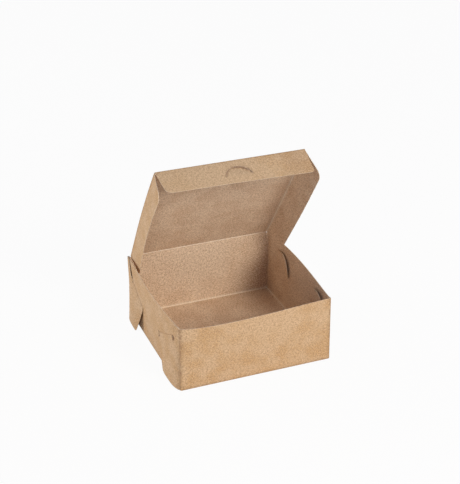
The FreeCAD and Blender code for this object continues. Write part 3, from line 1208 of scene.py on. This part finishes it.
    def end_bow(self, end: End, x: np.ndarray, z: np.ndarray) -> np.ndarray:
        """How far the front or rear wall has bowed out.

        Args:
            end: Which wall.
            x: Places along it.
            z: Heights.

        Returns:
            Distances outwards.
        """
        share = np.clip((x + self.ear_fold) / (2 * self.ear_fold), 0, 1)
        rise = self.height_share(z)
        if end is End.REAR:
            return self.rear_bow * np.sin(math.pi * share) * np.sin(math.pi * rise)
        return self.front_bow * lopsided(share, *self.front_lean) * rise**self.front_curve

    def shape(self, points: np.ndarray) -> np.ndarray:
        """Fold the tray up.

        Args:
            points: Points of the flat sheet.

        Returns:
            Points of the folded tray.
        """
        p, q = points[:, 0], points[:, 1]
        side_sign, end_sign = np.sign(p), np.sign(q)
        x, y = p.copy(), q.copy()
        z = np.full(len(p), self.floor_z)
        on_end = np.abs(q) > self.flat_y + SAME_PLACE
        on_side = (np.abs(p) > self.flat_x + SAME_PLACE) & ~on_end

        ahead, risen = turn_fold(np.abs(p) - self.flat_x, self.sizes)
        x = np.where(on_side, side_sign * (self.flat_x + ahead), x)
        z = np.where(on_side, self.floor_z + risen, z)

        ahead, risen = turn_fold(np.abs(q) - self.flat_y, self.sizes)
        z = np.where(on_end, self.floor_z + risen, z)
        beyond, back = turn_fold(np.abs(p) - self.ear_fold, self.sizes)
        on_ear = on_end & (np.abs(p) > self.ear_fold + SAME_PLACE)
        y = np.where(on_end, end_sign * (self.flat_y + ahead), y)
        y = np.where(on_ear, end_sign * (self.sizes.half_depth - back), y)
        x = np.where(on_ear, side_sign * (self.ear_fold + beyond), x)

        for side in Side:
            mine = on_side & (side_sign == side.value)
            x[mine] += side.value * self.bow(side, y[mine], z[mine])
            for end in End:
                ear = on_ear & (side_sign == side.value) & (end_sign == end.value)
                run = self.corner_y - np.abs(y[ear])
                off = self.locks[side, end].stand_off(run, z[ear])
                settled = self.sizes.half_width + off + self.bow(side, y[ear], z[ear])
                share = smooth_step(run, *self.ear_turn)
                x[ear] = side.value * (np.abs(x[ear]) * (1 - share) + settled * share)
        for end in End:
            mine = on_end & ~on_ear & (end_sign == end.value)
            y[mine] += end.value * self.end_bow(end, x[mine], z[mine])
        return self.settle(np.stack((x, y, z), axis=1))

    def settle(self, places: np.ndarray) -> np.ndarray:
        """Move the walls with their upper corners, which the sprung board has pulled a little out of square.

        Args:
            places: Folded points.

        Returns:
            The same points, moved most at the rim and not at all at the floor.
        """
        right = np.clip((places[:, 0] / self.sizes.half_width + 1) / 2, 0, 1)
        rear = np.clip((places[:, 1] / self.sizes.half_depth + 1) / 2, 0, 1)
        rise = self.height_share(places[:, 2])
        moved = places.copy()
        for (side, end), (shift_x, shift_y) in self.corner_shift.items():
            across = right if side is Side.RIGHT else 1 - right
            share = across * (rear if end is End.REAR else 1 - rear) * rise
            moved[:, 0] += share * shift_x
            moved[:, 1] += share * shift_y
        return moved

    def build(self) -> bpy.types.Object:
        """Make the tray's board."""
        return fold_up("tray_board", self.flat(), self.shape, self.sizes, self.finishes)

    def score_paths(self) -> list[list[Vector]]:
        """Lines of the scores round the floor, on the inner side.

        Returns:
            One line for each side of the floor.
        """
        height = self.floor_z + self.sizes.board * BEAD_SINK
        x, y = self.flat_x - BEAD_INSET, self.flat_y - BEAD_INSET
        corners = [Vector((a * x, b * y, height)) for a, b in ((-1, -1), (1, -1), (1, 1), (-1, 1))]
        return [[start, end] for start, end in zip(corners, corners[1:] + corners[:1])]


# ---------------------------------------------------------------- lid


@dataclass(frozen=True)
class FlapCut:
    """How a side flap of the lid was cut, in millimetres, and how it hangs.

    The splay is in degrees at the flap's rear, middle and front; settles_by is how steeply it turns in as
    the lid shuts, in degrees.
    """

    depth: float
    front_taper: float
    front_radius: float
    splay: Triple
    bulge: float
    flare: float = 0.0
    rear_taper: float = 8.0
    rear_radius: float = 14.0
    settles_by: float = 16.0


@dataclass(frozen=True)
class TuckCut:
    """How the front tuck flap was cut and hangs; pairs go left, right and threes left, middle, right."""

    depth: float = 43.0
    taper: Pair = (3.5, 0.6)
    radius: Pair = (9.5, 5.0)
    lean: Triple = (13.0, 11.0, 6.0)
    settles_by: float = 21.0


@dataclass(frozen=True)
class ThumbTab:
    """The half-moon cut in the front flap, pressed in, and the more so towards its right."""

    centre: float = 2.2
    half: float = 20.3
    rise: float = 17.5
    margin: float = 13.5
    cut: float = 1.5
    pressed: float = 3.0
    twisted: float = 2.2
    curve: float = 1.1

    def outline(self, chord: float, inset: float) -> list[Point]:
        """The arc on the sheet, hanging above its chord, drawn in by inset."""
        return [(self.centre + x, chord - y) for x, y in crescent(self.half - inset, self.rise - inset)]

    def press(self, x: np.ndarray, above: np.ndarray) -> np.ndarray:
        """How far the tab stands inwards at places across it and above its chord."""
        share = np.clip(above / self.rise, 0, 1)
        return share**self.curve * (self.pressed + self.twisted * (x - self.centre) / self.half)


@dataclass
class Lid:
    """Panel, side flaps and front tuck flap, given along the lid (u), across it (x) and inwards (depth)."""

    sizes: BoxSizes
    finishes: Finishes
    crease_half: float = 2.4
    panel_bow: float = 1.6
    skew: float = 1.8
    widening: float = 0.5
    curl: float = 1.3
    bulge_curve: float = 1.15
    rear_gap: float = 0.5
    front_inset: float = 1.2
    fold_short: float = 1.0
    beside_fold: float = 0.5
    beside_short: float = 0.2
    flap_turn: Pair = (-1.0, 5.0)
    tuck_turn: Pair = (-1.0, 6.0)
    score_start: float = 1.0
    score_steps: int = 24
    cuts: dict[Side, FlapCut] = field(default_factory=lambda: {
        Side.LEFT: FlapCut(depth=40.5, front_taper=3.0, front_radius=13.0, splay=(-3.0, 5.0, 4.0), bulge=2.2),
        Side.RIGHT: FlapCut(
            depth=44.0, flare=2.6, front_taper=3.0, front_radius=11.0, splay=(7.0, 9.5, 12.5), bulge=1.8),
    })
    tuck: TuckCut = TuckCut()
    thumb: ThumbTab = ThumbTab()

    def __post_init__(self) -> None:
        """Work out the lid's directions and landmarks; its sheet's second axis starts under the floor."""
        sizes = self.sizes
        angle = math.radians(sizes.lid_angle)
        self.hinge = np.array((0.0, sizes.hinge_y, sizes.hinge_z))
        self.outward = np.array((0.0, -math.cos(angle), math.sin(angle)))
        self.inward = np.array((0.0, -math.sin(angle), -math.cos(angle)))
        self.panel_x = sizes.lid_half_width - sizes.bend
        self.panel_end = sizes.lid_length - sizes.bend
        self.flap_root = self.panel_x + sizes.bend_length
        self.sheet_offset = (
            sizes.half_depth - sizes.bend + sizes.bend_length + sizes.hinge_z - sizes.board / 2 - sizes.bend)

    def place(self, x: np.ndarray, u: np.ndarray, depth: np.ndarray) -> np.ndarray:
        """Put points into the box's frame, with the lid a little askew and curled.

        Args:
            x: Places across the lid.
            u: Places along it.
            depth: Distances inwards from its panel.

        Returns:
            Points, one a row.
        """
        share = np.clip(u / self.panel_end, 0, 1)
        across = np.clip(x / self.panel_x, -1, 1)
        most = np.where(x > 0, self.cuts[Side.RIGHT].bulge, self.cuts[Side.LEFT].bulge)
        bulge = most * np.sin(math.pi * share**self.bulge_curve)
        spot = self.hinge + np.outer(u, self.outward) + np.outer(depth - self.curl * share**2, self.inward)
        spot[:, 0] = x + self.skew * share + across * (bulge + self.widening * share)
        return spot

    def belly(self, x: np.ndarray, u: np.ndarray) -> np.ndarray:
        """How far the panel has bowed outwards, 0 along every fold.

        Args:
            x: Places across the lid.
            u: Places along it.

        Returns:
            Distances outwards.
        """
        across = np.clip(x / self.panel_x, -1, 1)
        along = np.clip((u - self.crease_half) / (self.panel_end - self.crease_half), 0, 1)
        return self.panel_bow * (1 - across**2) * np.sin(math.pi * along)

    def shape_panel(self, points: np.ndarray) -> np.ndarray:
        """Fold the panel's edges.

        Args:
            points: Points of the flat sheet.

        Returns:
            Folded points.
        """
        p, u = points[:, 0], points[:, 1] - self.sheet_offset
        beyond, down_side = turn_fold(np.abs(p) - self.panel_x, self.sizes)
        ahead, down_front = turn_fold(u - self.panel_end, self.sizes)
        past_side, past_front = np.abs(p) > self.panel_x, u > self.panel_end
        x = np.where(past_side, np.sign(p) * (self.panel_x + beyond), p)
        along = np.where(past_front, self.panel_end + ahead, u)
        depth = np.where(past_side, down_side, 0) + np.where(past_front, down_front, 0)
        return self.place(x, along, depth - self.belly(x, along))

    def flap_ends(self) -> Pair:
        """Where the side folds start and end on the sheet."""
        first = self.sheet_offset + self.rear_gap
        return first, self.sheet_offset + self.panel_end - self.front_inset

    def flat_panel(self) -> Flat:
        """The panel with the board of its side and front folds.

        Returns:
            The flat piece.
        """
        wide = self.flap_root
        low = self.sheet_offset + self.crease_half
        first, last = self.flap_ends()
        high = self.sheet_offset + self.panel_end
        top = high + self.sizes.bend_length
        outline = [
            (-self.panel_x, low), (self.panel_x, low), (self.panel_x, first), (wide, first), (wide, last),
            (self.panel_x, last), (self.panel_x, top), (-self.panel_x, top), (-self.panel_x, last),
            (-wide, last), (-wide, first), (-self.panel_x, first),
        ]
        lines = []
        for quarter in FOLD_QUARTERS[:-1]:
            step = self.sizes.bend_length * quarter / 4
            short = self.fold_short if quarter < 0 else 0.0
            end = self.panel_x - short
            lines.append([(-end, high + step), (end, high + step)])
            for side in (-1, 1):
                x = side * (self.panel_x + step)
                lines.append([(x, first), (x, last - short)])
        half_bend = self.sizes.bend_length / 2
        x, y = self.panel_x + half_bend, high + half_bend
        scores = [((x, first), (x, last)), ((-x, first), (-x, last)), ((-self.panel_x, y), (self.panel_x, y))]
        return Flat(outline, [], lines, scores)

    def flat_side_flap(self, side: Side) -> Flat:
        """A side flap beyond its fold.

        Args:
            side: Which flap.

        Returns:
            The flat piece.
        """
        cut = self.cuts[side]
        root = self.flap_root
        edge = root + cut.depth - self.sizes.bend - self.sizes.board / 2
        first, last = self.flap_ends()
        rear, front = (edge, first + cut.rear_taper), (edge + cut.flare, last - cut.front_taper)
        outline = [
            (root, first),
            *rounded((root, first), rear, front, cut.rear_radius),
            *rounded(rear, front, (root, last), cut.front_radius),
            (root, last),
        ]
        score = side.value * (root - self.sizes.bend_length / 2)
        beside = side.value * (root + self.beside_fold)
        return Flat(
            outline=[(side.value * x, y) for x, y in outline],
            lines=[[(beside, first + self.beside_short), (beside, last - self.beside_short)]],
            scores=[((score, first), (score, last))],
        )

    def shape_side_flap(self, side: Side) -> Callable[[np.ndarray], np.ndarray]:
        """Give the function that hangs a side flap from its fold.

        Args:
            side: Which flap.

        Returns:
            A function from flat points to folded ones.
        """
        def shape(points: np.ndarray) -> np.ndarray:
            """Fold the flap down.

            Args:
                points: Points of the flat sheet.

            Returns:
                Folded points.
            """
            down = np.abs(points[:, 0]) - self.panel_x - self.sizes.bend_length
            u = points[:, 1] - self.sheet_offset
            splay = np.radians(through_three(self.cuts[side].splay, np.clip(u / self.panel_end, 0, 1)))
            splay = splay * smooth_step(down, *self.flap_turn)
            x = side.value * (self.sizes.lid_half_width + down * np.sin(splay))
            return self.place(x, u, self.sizes.bend + down * np.cos(splay))

        return shape

    def tuck_corners(self) -> list[Point]:
        """Corners of the front flap, beyond its fold.

        Returns:
            The left and right corner at the fold, then the right and left one at its free edge.
        """
        root = self.sheet_offset + self.panel_end + self.sizes.bend_length
        edge = root + self.tuck.depth - self.sizes.bend - self.sizes.board / 2
        left, right = self.tuck.taper
        x = self.panel_x
        return [(-x, root), (x, root), (x - right, edge), (left - x, edge)]

    def thumb_chord(self) -> float:
        """Where the half-moon's chord lies on the sheet."""
        return self.tuck_corners()[2][1] - self.thumb.margin

    def flat_tuck(self) -> Flat:
        """The front flap beyond its fold, with the half-moon cut.

        Returns:
            The flat piece.
        """
        corners = self.tuck_corners()
        left, right = self.tuck.radius
        root = corners[0][1]
        outline = [
            corners[0], corners[1],
            *rounded(corners[1], corners[2], corners[3], right),
            *rounded(corners[2], corners[3], corners[0], left),
        ]
        near, middle, far = (
            self.thumb.outline(self.thumb_chord(), self.thumb.cut * share) for share in (0.0, 0.5, 1.0))
        score = root - self.sizes.bend_length / 2
        beside = root + self.beside_fold
        reach = self.panel_x - self.beside_fold
        return Flat(
            outline=outline,
            holes=[near + far[::-1]],
            lines=[[(-reach, beside), (reach, beside)]],
            scores=[((-self.panel_x, score), (self.panel_x, score))],
            # The dark crease colour along the half-moon's arc is painted shadow of the cut's gap.
            corners=list(zip(middle, middle[1:])),
            # Painted light on the flap's left and painted shade at its right end.
            painted_light_patches=[
                PaintedLightPatch((-25.0, beside + 20.0), (80.0, 40.0), 1.2),
                PaintedLightPatch((92.0, beside + 20.0), (36.0, 40.0), -0.7),
            ],
            spacing=2.6,
        )

    def shape_tuck(self, points: np.ndarray) -> np.ndarray:
        """Hang the front flap from its fold, part open, with the thumb tab pressed in.

        Args:
            points: Points of the flat sheet.

        Returns:
            Folded points.
        """
        x = points[:, 0]
        down = points[:, 1] - self.sheet_offset - self.panel_end - self.sizes.bend_length
        lean = np.radians(through_three(self.tuck.lean, (x / self.panel_x + 1) / 2))
        lean = lean * smooth_step(down, *self.tuck_turn)
        u = self.panel_end + self.sizes.bend + down * np.sin(lean)
        depth = self.sizes.bend + down * np.cos(lean)
        chord = self.thumb_chord()
        tab = inside(points, self.thumb.outline(chord, self.thumb.cut / 2))
        u = u - np.where(tab, self.thumb.press(x, chord - points[:, 1]), 0)
        return self.place(x, u, depth)

    def build(self) -> list[bpy.types.Object]:
        """Make the panel and its three flaps.

        Returns:
            The panel, the left and right flap and the front flap.
        """
        parts = {
            "lid_panel": (self.flat_panel(), self.shape_panel),
            "lid_flap_left": (self.flat_side_flap(Side.LEFT), self.shape_side_flap(Side.LEFT)),
            "lid_flap_right": (self.flat_side_flap(Side.RIGHT), self.shape_side_flap(Side.RIGHT)),
            "lid_front_flap": (self.flat_tuck(), self.shape_tuck),
        }
        return [
            fold_up(name, flat, shape, self.sizes, self.finishes) for name, (flat, shape) in parts.items()
        ]

    def flap_settling(self, side: Side) -> tuple[np.ndarray, np.ndarray]:
        """How a side flap turns in about its fold as the lid shuts.

        Args:
            side: Which flap.

        Returns:
            The squash's direction, and its fixed point in metres.
        """
        angle = math.radians(self.cuts[side].settles_by)
        axis = np.array((side.value * math.cos(angle), 0, 0)) + self.inward * math.sin(angle)
        edge = np.array((side.value * self.sizes.lid_half_width, 0, 0))
        return axis, (self.hinge + self.inward * self.sizes.bend + edge) * MM

    def tuck_settling(self) -> tuple[np.ndarray, np.ndarray]:
        """How the front flap turns in about its fold as the lid shuts.

        Returns:
            The squash's direction, and its fixed point in metres.
        """
        angle = math.radians(self.tuck.settles_by)
        axis = self.outward * math.cos(angle) + self.inward * math.sin(angle)
        anchor = self.hinge + self.outward * self.sizes.lid_length + self.inward * self.sizes.bend
        return axis, anchor * MM

    def score_paths(self) -> list[list[Vector]]:
        """Lines of the scores along the side and front folds, on the inner side.

        Returns:
            One line for each fold.
        """
        near, far = self.score_start, self.panel_end - BEAD_INSET
        x = self.panel_x - BEAD_INSET
        depth = np.full(self.score_steps, self.sizes.board * BEAD_SINK)
        shares = np.linspace(0, 1, self.score_steps)
        paths = []
        for (x0, u0), (x1, u1) in (((-x, near), (-x, far)), ((x, near), (x, far)), ((-x, far), (x, far))):
            spots = self.place(x0 + (x1 - x0) * shares, u0 + (u1 - u0) * shares, depth)
            paths.append([Vector(spot) for spot in spots])
        return paths


@dataclass
class LidCrease:
    """The scored strip that joins the rear wall to the lid and bends as the lid swings."""

    lid: Lid
    across: int = 90
    steps: int = 12
    bend_radius: float = 0.9
    blend_reach: float = 1.6
    worn: Pair = (0.5, 1.4)
    score_sink: float = 0.5

    def section(self) -> np.ndarray:
        """The strip's middle line: up the wall, round the bend and out along the lid.

        Returns:
            Distance along the board from the hinge, y and z, one point a row.
        """
        half, hinge, radius = self.lid.crease_half, self.lid.hinge, self.bend_radius
        turn = math.pi / 2 - math.radians(self.lid.sizes.lid_angle)
        tangent = radius * math.tan(turn / 2)
        arc = radius * turn
        total = 2 * (half - tangent) + arc
        points = []
        for i in range(self.steps + 1):
            run = total * i / self.steps
            if run < half - tangent:
                y, z = hinge[1], hinge[2] - half + run
            elif run < half - tangent + arc:
                angle = (run - half + tangent) / radius
                y = hinge[1] - radius * (1 - math.cos(angle))
                z = hinge[2] - tangent + radius * math.sin(angle)
            else:
                y, z = (hinge + self.lid.outward * (half - (total - run)))[1:]
            points.append((run / total * 2 * half - half, y, z))
        return np.array(points)

    def build(self) -> bpy.types.Object:
        """Make the strip.

        Returns:
            The finished strip.
        """
        width, count = self.lid.panel_x, self.across
        section = self.section()
        x = np.tile(np.linspace(-width, width, count), len(section))
        run, y, z = (np.repeat(column, count) for column in section.T)
        faces = [
            (row * count + i, row * count + i + 1, (row + 1) * count + i + 1, (row + 1) * count + i)
            for row in range(len(section) - 1) for i in range(count - 1)
        ]
        mesh = bpy.data.meshes.new("lid_crease")
        mesh.from_pydata((np.stack((x, y, z), axis=1) * MM).tolist(), [], faces)
        wear = 1 - smooth_step(np.abs(run), *self.worn)
        lay_out(mesh, np.stack((x, self.lid.sheet_offset + run), axis=1), {WEAR_NAME: wear})
        return thicken("lid_crease", mesh, self.lid.sizes, self.lid.finishes)

    def score_path(self) -> list[Vector]:
        """Line of the score on the inner side.

        Returns:
            Its two ends.
        """
        toward = self.lid.inward + np.array((0.0, -1.0, 0.0))
        lift = self.lid.sizes.board * self.score_sink
        spot = self.lid.hinge + toward / np.linalg.norm(toward) * lift
        return [Vector((x, spot[1], spot[2])) for x in (-self.lid.panel_x, self.lid.panel_x)]


# ---------------------------------------------------------------- scores


@dataclass
class ScoreBead:
    """The low uneven ridge that a scoring rule raises along the inside of a fold, in millimetres."""

    finish: bpy.types.Material
    radius: float = 0.45
    step: float = 1.4
    wave: float = 9.0
    unevenness: float = 0.5
    seed: int = 7
    sides: int = 8

    def tree(self) -> bpy.types.NodeTree:
        """Build the node tree: resample the line, vary its radius, sweep a round bead along it.

        Returns:
            The node tree, with the bead's sizes as its inputs.
        """
        tree = bpy.data.node_groups.new("score_bead", "GeometryNodeTree")
        tree.interface.new_socket("Geometry", in_out="INPUT", socket_type="NodeSocketGeometry")
        tree.interface.new_socket("Geometry", in_out="OUTPUT", socket_type="NodeSocketGeometry")
        for name in self.inputs():
            tree.interface.new_socket(name, in_out="INPUT", socket_type="NodeSocketFloat")
        given = add_node(tree, "NodeGroupInput").outputs
        line = add_node(tree, "GeometryNodeResampleCurve", {"mode": "LENGTH"}, {
            "Curve": given["Geometry"], "Length": given["Step"]})
        noise = add_node(tree, "ShaderNodeTexNoise", {"noise_dimensions": "4D"}, {
            "Vector": add_node(tree, "GeometryNodeInputPosition").outputs[0], "W": given["Seed"],
            "Scale": 1 / (self.wave * MM), "Detail": 2.0})
        centred = add_node(tree, "ShaderNodeMath", {"operation": "SUBTRACT"}, {
            0: noise.outputs["Fac"], 1: 0.5})
        swing = add_node(tree, "ShaderNodeMath", {"operation": "MULTIPLY_ADD"}, {
            0: centred.outputs[0], 1: given["Unevenness"], 2: 1.0})
        sized = add_node(tree, "GeometryNodeSetCurveRadius", {}, {
            "Curve": line.outputs["Curve"], "Radius": swing.outputs[0]})
        ring = add_node(tree, "GeometryNodeCurvePrimitiveCircle", {}, {
            "Resolution": self.sides, "Radius": given["Bead Radius"]})
        swept = add_node(tree, "GeometryNodeCurveToMesh", {}, {
            "Curve": sized.outputs["Curve"], "Profile Curve": ring.outputs["Curve"], "Fill Caps": True})
        real = add_node(tree, "GeometryNodeRealizeInstances", {}, {"Geometry": swept.outputs["Mesh"]})
        dressed = add_node(tree, "GeometryNodeSetMaterial", {}, {
            "Geometry": real.outputs["Geometry"], "Material": self.finish})
        add_node(tree, "NodeGroupOutput", {}, {"Geometry": dressed.outputs["Geometry"]})
        return tree

    def inputs(self) -> dict[str, float]:
        """The node tree's inputs by name, in metres."""
        lengths = {"Bead Radius": self.radius * MM, "Step": self.step * MM}
        return {**lengths, "Unevenness": self.unevenness, "Seed": float(self.seed)}

    def build(self, name: str, paths: list[list[Vector]], tree: bpy.types.NodeTree) -> bpy.types.Object:
        """Raise beads along some lines.

        Args:
            name: The piece's name.
            paths: Lines in millimetres.
            tree: The bead's node tree.

        Returns:
            One plain mesh with every bead.
        """
        data = bpy.data.curves.new(name, "CURVE")
        data.dimensions = "3D"
        for path in paths:
            spline = data.splines.new("POLY")
            spline.points.add(len(path) - 1)
            for point, place in zip(spline.points, path):
                point.co = (*(place * MM), 1.0)
        line = add_object(name + "_line", data)
        modifier = line.modifiers.new("bead", "NODES")
        modifier.node_group = tree
        values = self.inputs()
        for item in tree.interface.items_tree:
            if item.in_out == "INPUT" and item.name in values:
                modifier[item.identifier] = values[item.name]
        mesh = plain_mesh(line)
        bpy.data.objects.remove(line)
        mesh.name = name
        piece = add_object(name, mesh)
        smooth(piece, BEAD_SHARP)
        return piece


# ---------------------------------------------------------------- stage


def seen_plainly(tree: bpy.types.NodeTree) -> Value:
    """Find the rays that see the white backdrop plainly: from the camera, off gloss and through glass.

    Args:
        tree: The node tree of the world or of a material.

    Returns:
        A socket that is 1 for those rays and 0 for the rest.
    """
    path = add_node(tree, "ShaderNodeLightPath").outputs
    seen = path["Is Camera Ray"]
    for ray in ("Is Glossy Ray", "Is Transmission Ray"):
        seen = add_node(tree, "ShaderNodeMath", {"operation": "MAXIMUM"}, {0: seen, 1: path[ray]}).outputs[0]
    return seen


@dataclass(frozen=True)
class Lamp:
    """A square soft lamp that faces the box: its place and side in metres, and its power in watts."""

    name: str
    place: Triple
    side: float
    power: float
    colour: str = "#FFFBF4"
    aim: Triple = (0.0, 0.0, 0.1)

    def build(self) -> None:
        """Hang the lamp."""
        data = bpy.data.lights.new(self.name, "AREA")
        data.shape = "SQUARE"
        data.size = self.side
        data.energy = self.power
        data.color = linear(self.colour)[:3]
        lamp = add_object(self.name, data)
        lamp.location = self.place
        lamp.rotation_euler = (Vector(self.aim) - Vector(self.place)).to_track_quat("-Z", "Y").to_euler()


@dataclass(frozen=True)
class Stage:
    """Camera, lamps, world and floor: degrees, millimetres for lens and sensor, metres for the rest."""

    azimuth: float = -21.621
    elevation: float = 27.138
    distance: float = 1.8495
    across: float = 0.00421
    above: float = 0.14158
    lens: float = 90.9
    sensor: float = 36.0
    floor_side: float = 60.0
    floor_colour: str = "#E2DAD3"
    floor_whiteness: float = 0.95
    world_colour: str = "#DEE6FF"
    world_strength: float = 0.46
    lamps: tuple[Lamp, ...] = (
        Lamp("key", (0.80, -2.15, 1.48), 0.8, 43.0),
        Lamp("low_front", (-1.50, -1.70, 0.32), 0.5, 6.5),
        Lamp("fill", (-1.95, 1.45, 0.22), 0.40, 24.8),
    )

    def camera(self) -> None:
        """Triple the camera and point it straight along its azimuth and elevation."""
        turn, rise = math.radians(self.azimuth), math.radians(self.elevation)
        back = Vector((math.sin(turn) * math.cos(rise), -math.cos(turn) * math.cos(rise), math.sin(rise)))
        right = Vector((math.cos(turn), math.sin(turn), 0))
        data = bpy.data.cameras.new("camera")
        data.lens = self.lens
        data.sensor_width = self.sensor
        data.clip_end = 100.0
        camera = add_object("camera", data)
        camera.location = back * self.distance + right * self.across + back.cross(right) * self.above
        camera.rotation_euler = (-back).to_track_quat("-Z", "Y").to_euler()
        bpy.context.scene.camera = camera

    def world(self) -> None:
        """A plain pale world, white to the eye and dimmer as light."""
        world = bpy.data.worlds.new("studio")
        world.use_nodes = True
        tree = world.node_tree
        tree.nodes.clear()
        light = add_node(tree, "ShaderNodeBackground", {}, {
            "Color": linear(self.world_colour), "Strength": self.world_strength})
        white = add_node(tree, "ShaderNodeBackground", {}, {"Color": (1, 1, 1, 1), "Strength": 1.0})
        mixed = add_node(tree, "ShaderNodeMixShader", {}, {
            0: seen_plainly(tree), 1: light.outputs[0], 2: white.outputs[0]})
        add_node(tree, "ShaderNodeOutputWorld", {}, {"Surface": mixed.outputs[0]})
        bpy.context.scene.world = world

    def floor(self) -> None:
        """A pale matt floor that keeps a faint shadow and looks white to the eye."""
        half = self.floor_side / 2
        mesh = bpy.data.meshes.new("floor")
        corners = [(-half, -half, 0), (half, -half, 0), (half, half, 0), (-half, half, 0)]
        mesh.from_pydata(corners, [], [(0, 1, 2, 3)])
        material, tree = new_material("white_floor")
        matt = add_node(tree, "ShaderNodeBsdfDiffuse", {}, {"Color": linear(self.floor_colour)})
        white = add_node(tree, "ShaderNodeEmission", {}, {"Color": (1, 1, 1, 1), "Strength": 1.0})
        share = add_node(tree, "ShaderNodeMath", {"operation": "MULTIPLY"}, {
            0: seen_plainly(tree), 1: self.floor_whiteness})
        mixed = add_node(tree, "ShaderNodeMixShader", {}, {
            0: share.outputs[0], 1: matt.outputs[0], 2: white.outputs[0]})
        add_node(tree, "ShaderNodeOutputMaterial", {}, {"Surface": mixed.outputs[0]})
        mesh.materials.append(material)
        floor = add_object("floor", mesh)

    def build(self) -> None:
        """Set the whole stage."""
        self.camera()
        self.world()
        self.floor()
        for lamp in self.lamps:
            lamp.build()
        bpy.context.scene.view_settings.view_transform = "Standard"


def hand_over(piece: bpy.types.Object) -> None:
    """Log a finished piece's face count."""
    log.info("%s: %d faces", piece.name, len(piece.data.polygons))


def main() -> None:
    """Build the box, dress it and set the stage."""
    logging.basicConfig(level=logging.INFO, format="%(name)s: %(message)s")
    sizes = BoxSizes.from_frame()
    log.info("sizes %s", sizes)
    Stage().build()
    finishes = Finishes.build()

    tray = Tray(sizes, finishes)
    board = tray.build()
    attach(board, "tray")
    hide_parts("tray")
    hand_over(board)

    lid = Lid(sizes, finishes)
    panel, left_flap, right_flap, tuck = lid.build()
    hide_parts("lid")
    for flap, (axis, anchor) in (
        (left_flap, lid.flap_settling(Side.LEFT)),
        (right_flap, lid.flap_settling(Side.RIGHT)),
        (tuck, lid.tuck_settling()),
    ):
        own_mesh(flap)
    for piece in (panel, left_flap, right_flap, tuck):
        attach(piece, "lid")
        hand_over(piece)

    crease = LidCrease(lid)
    bead = ScoreBead(finishes.score)
    hinge_bead = ScoreBead(finishes.score, radius=0.62)
    tree = bead.tree()
    strip = crease.build()
    ridge = hinge_bead.build("lid_crease_score", [crease.score_path()], tree)
    for piece in (strip, ridge):
        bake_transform(piece)
        hand_over(piece)

    for name, paths, body in (
        ("tray_scores", tray.score_paths(), "tray"),
        ("lid_scores", lid.score_paths(), "lid"),
    ):
        scores = bead.build(name, paths, tree)
        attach(scores, body)
        hand_over(scores)


if __name__ == "__main__":
    main()
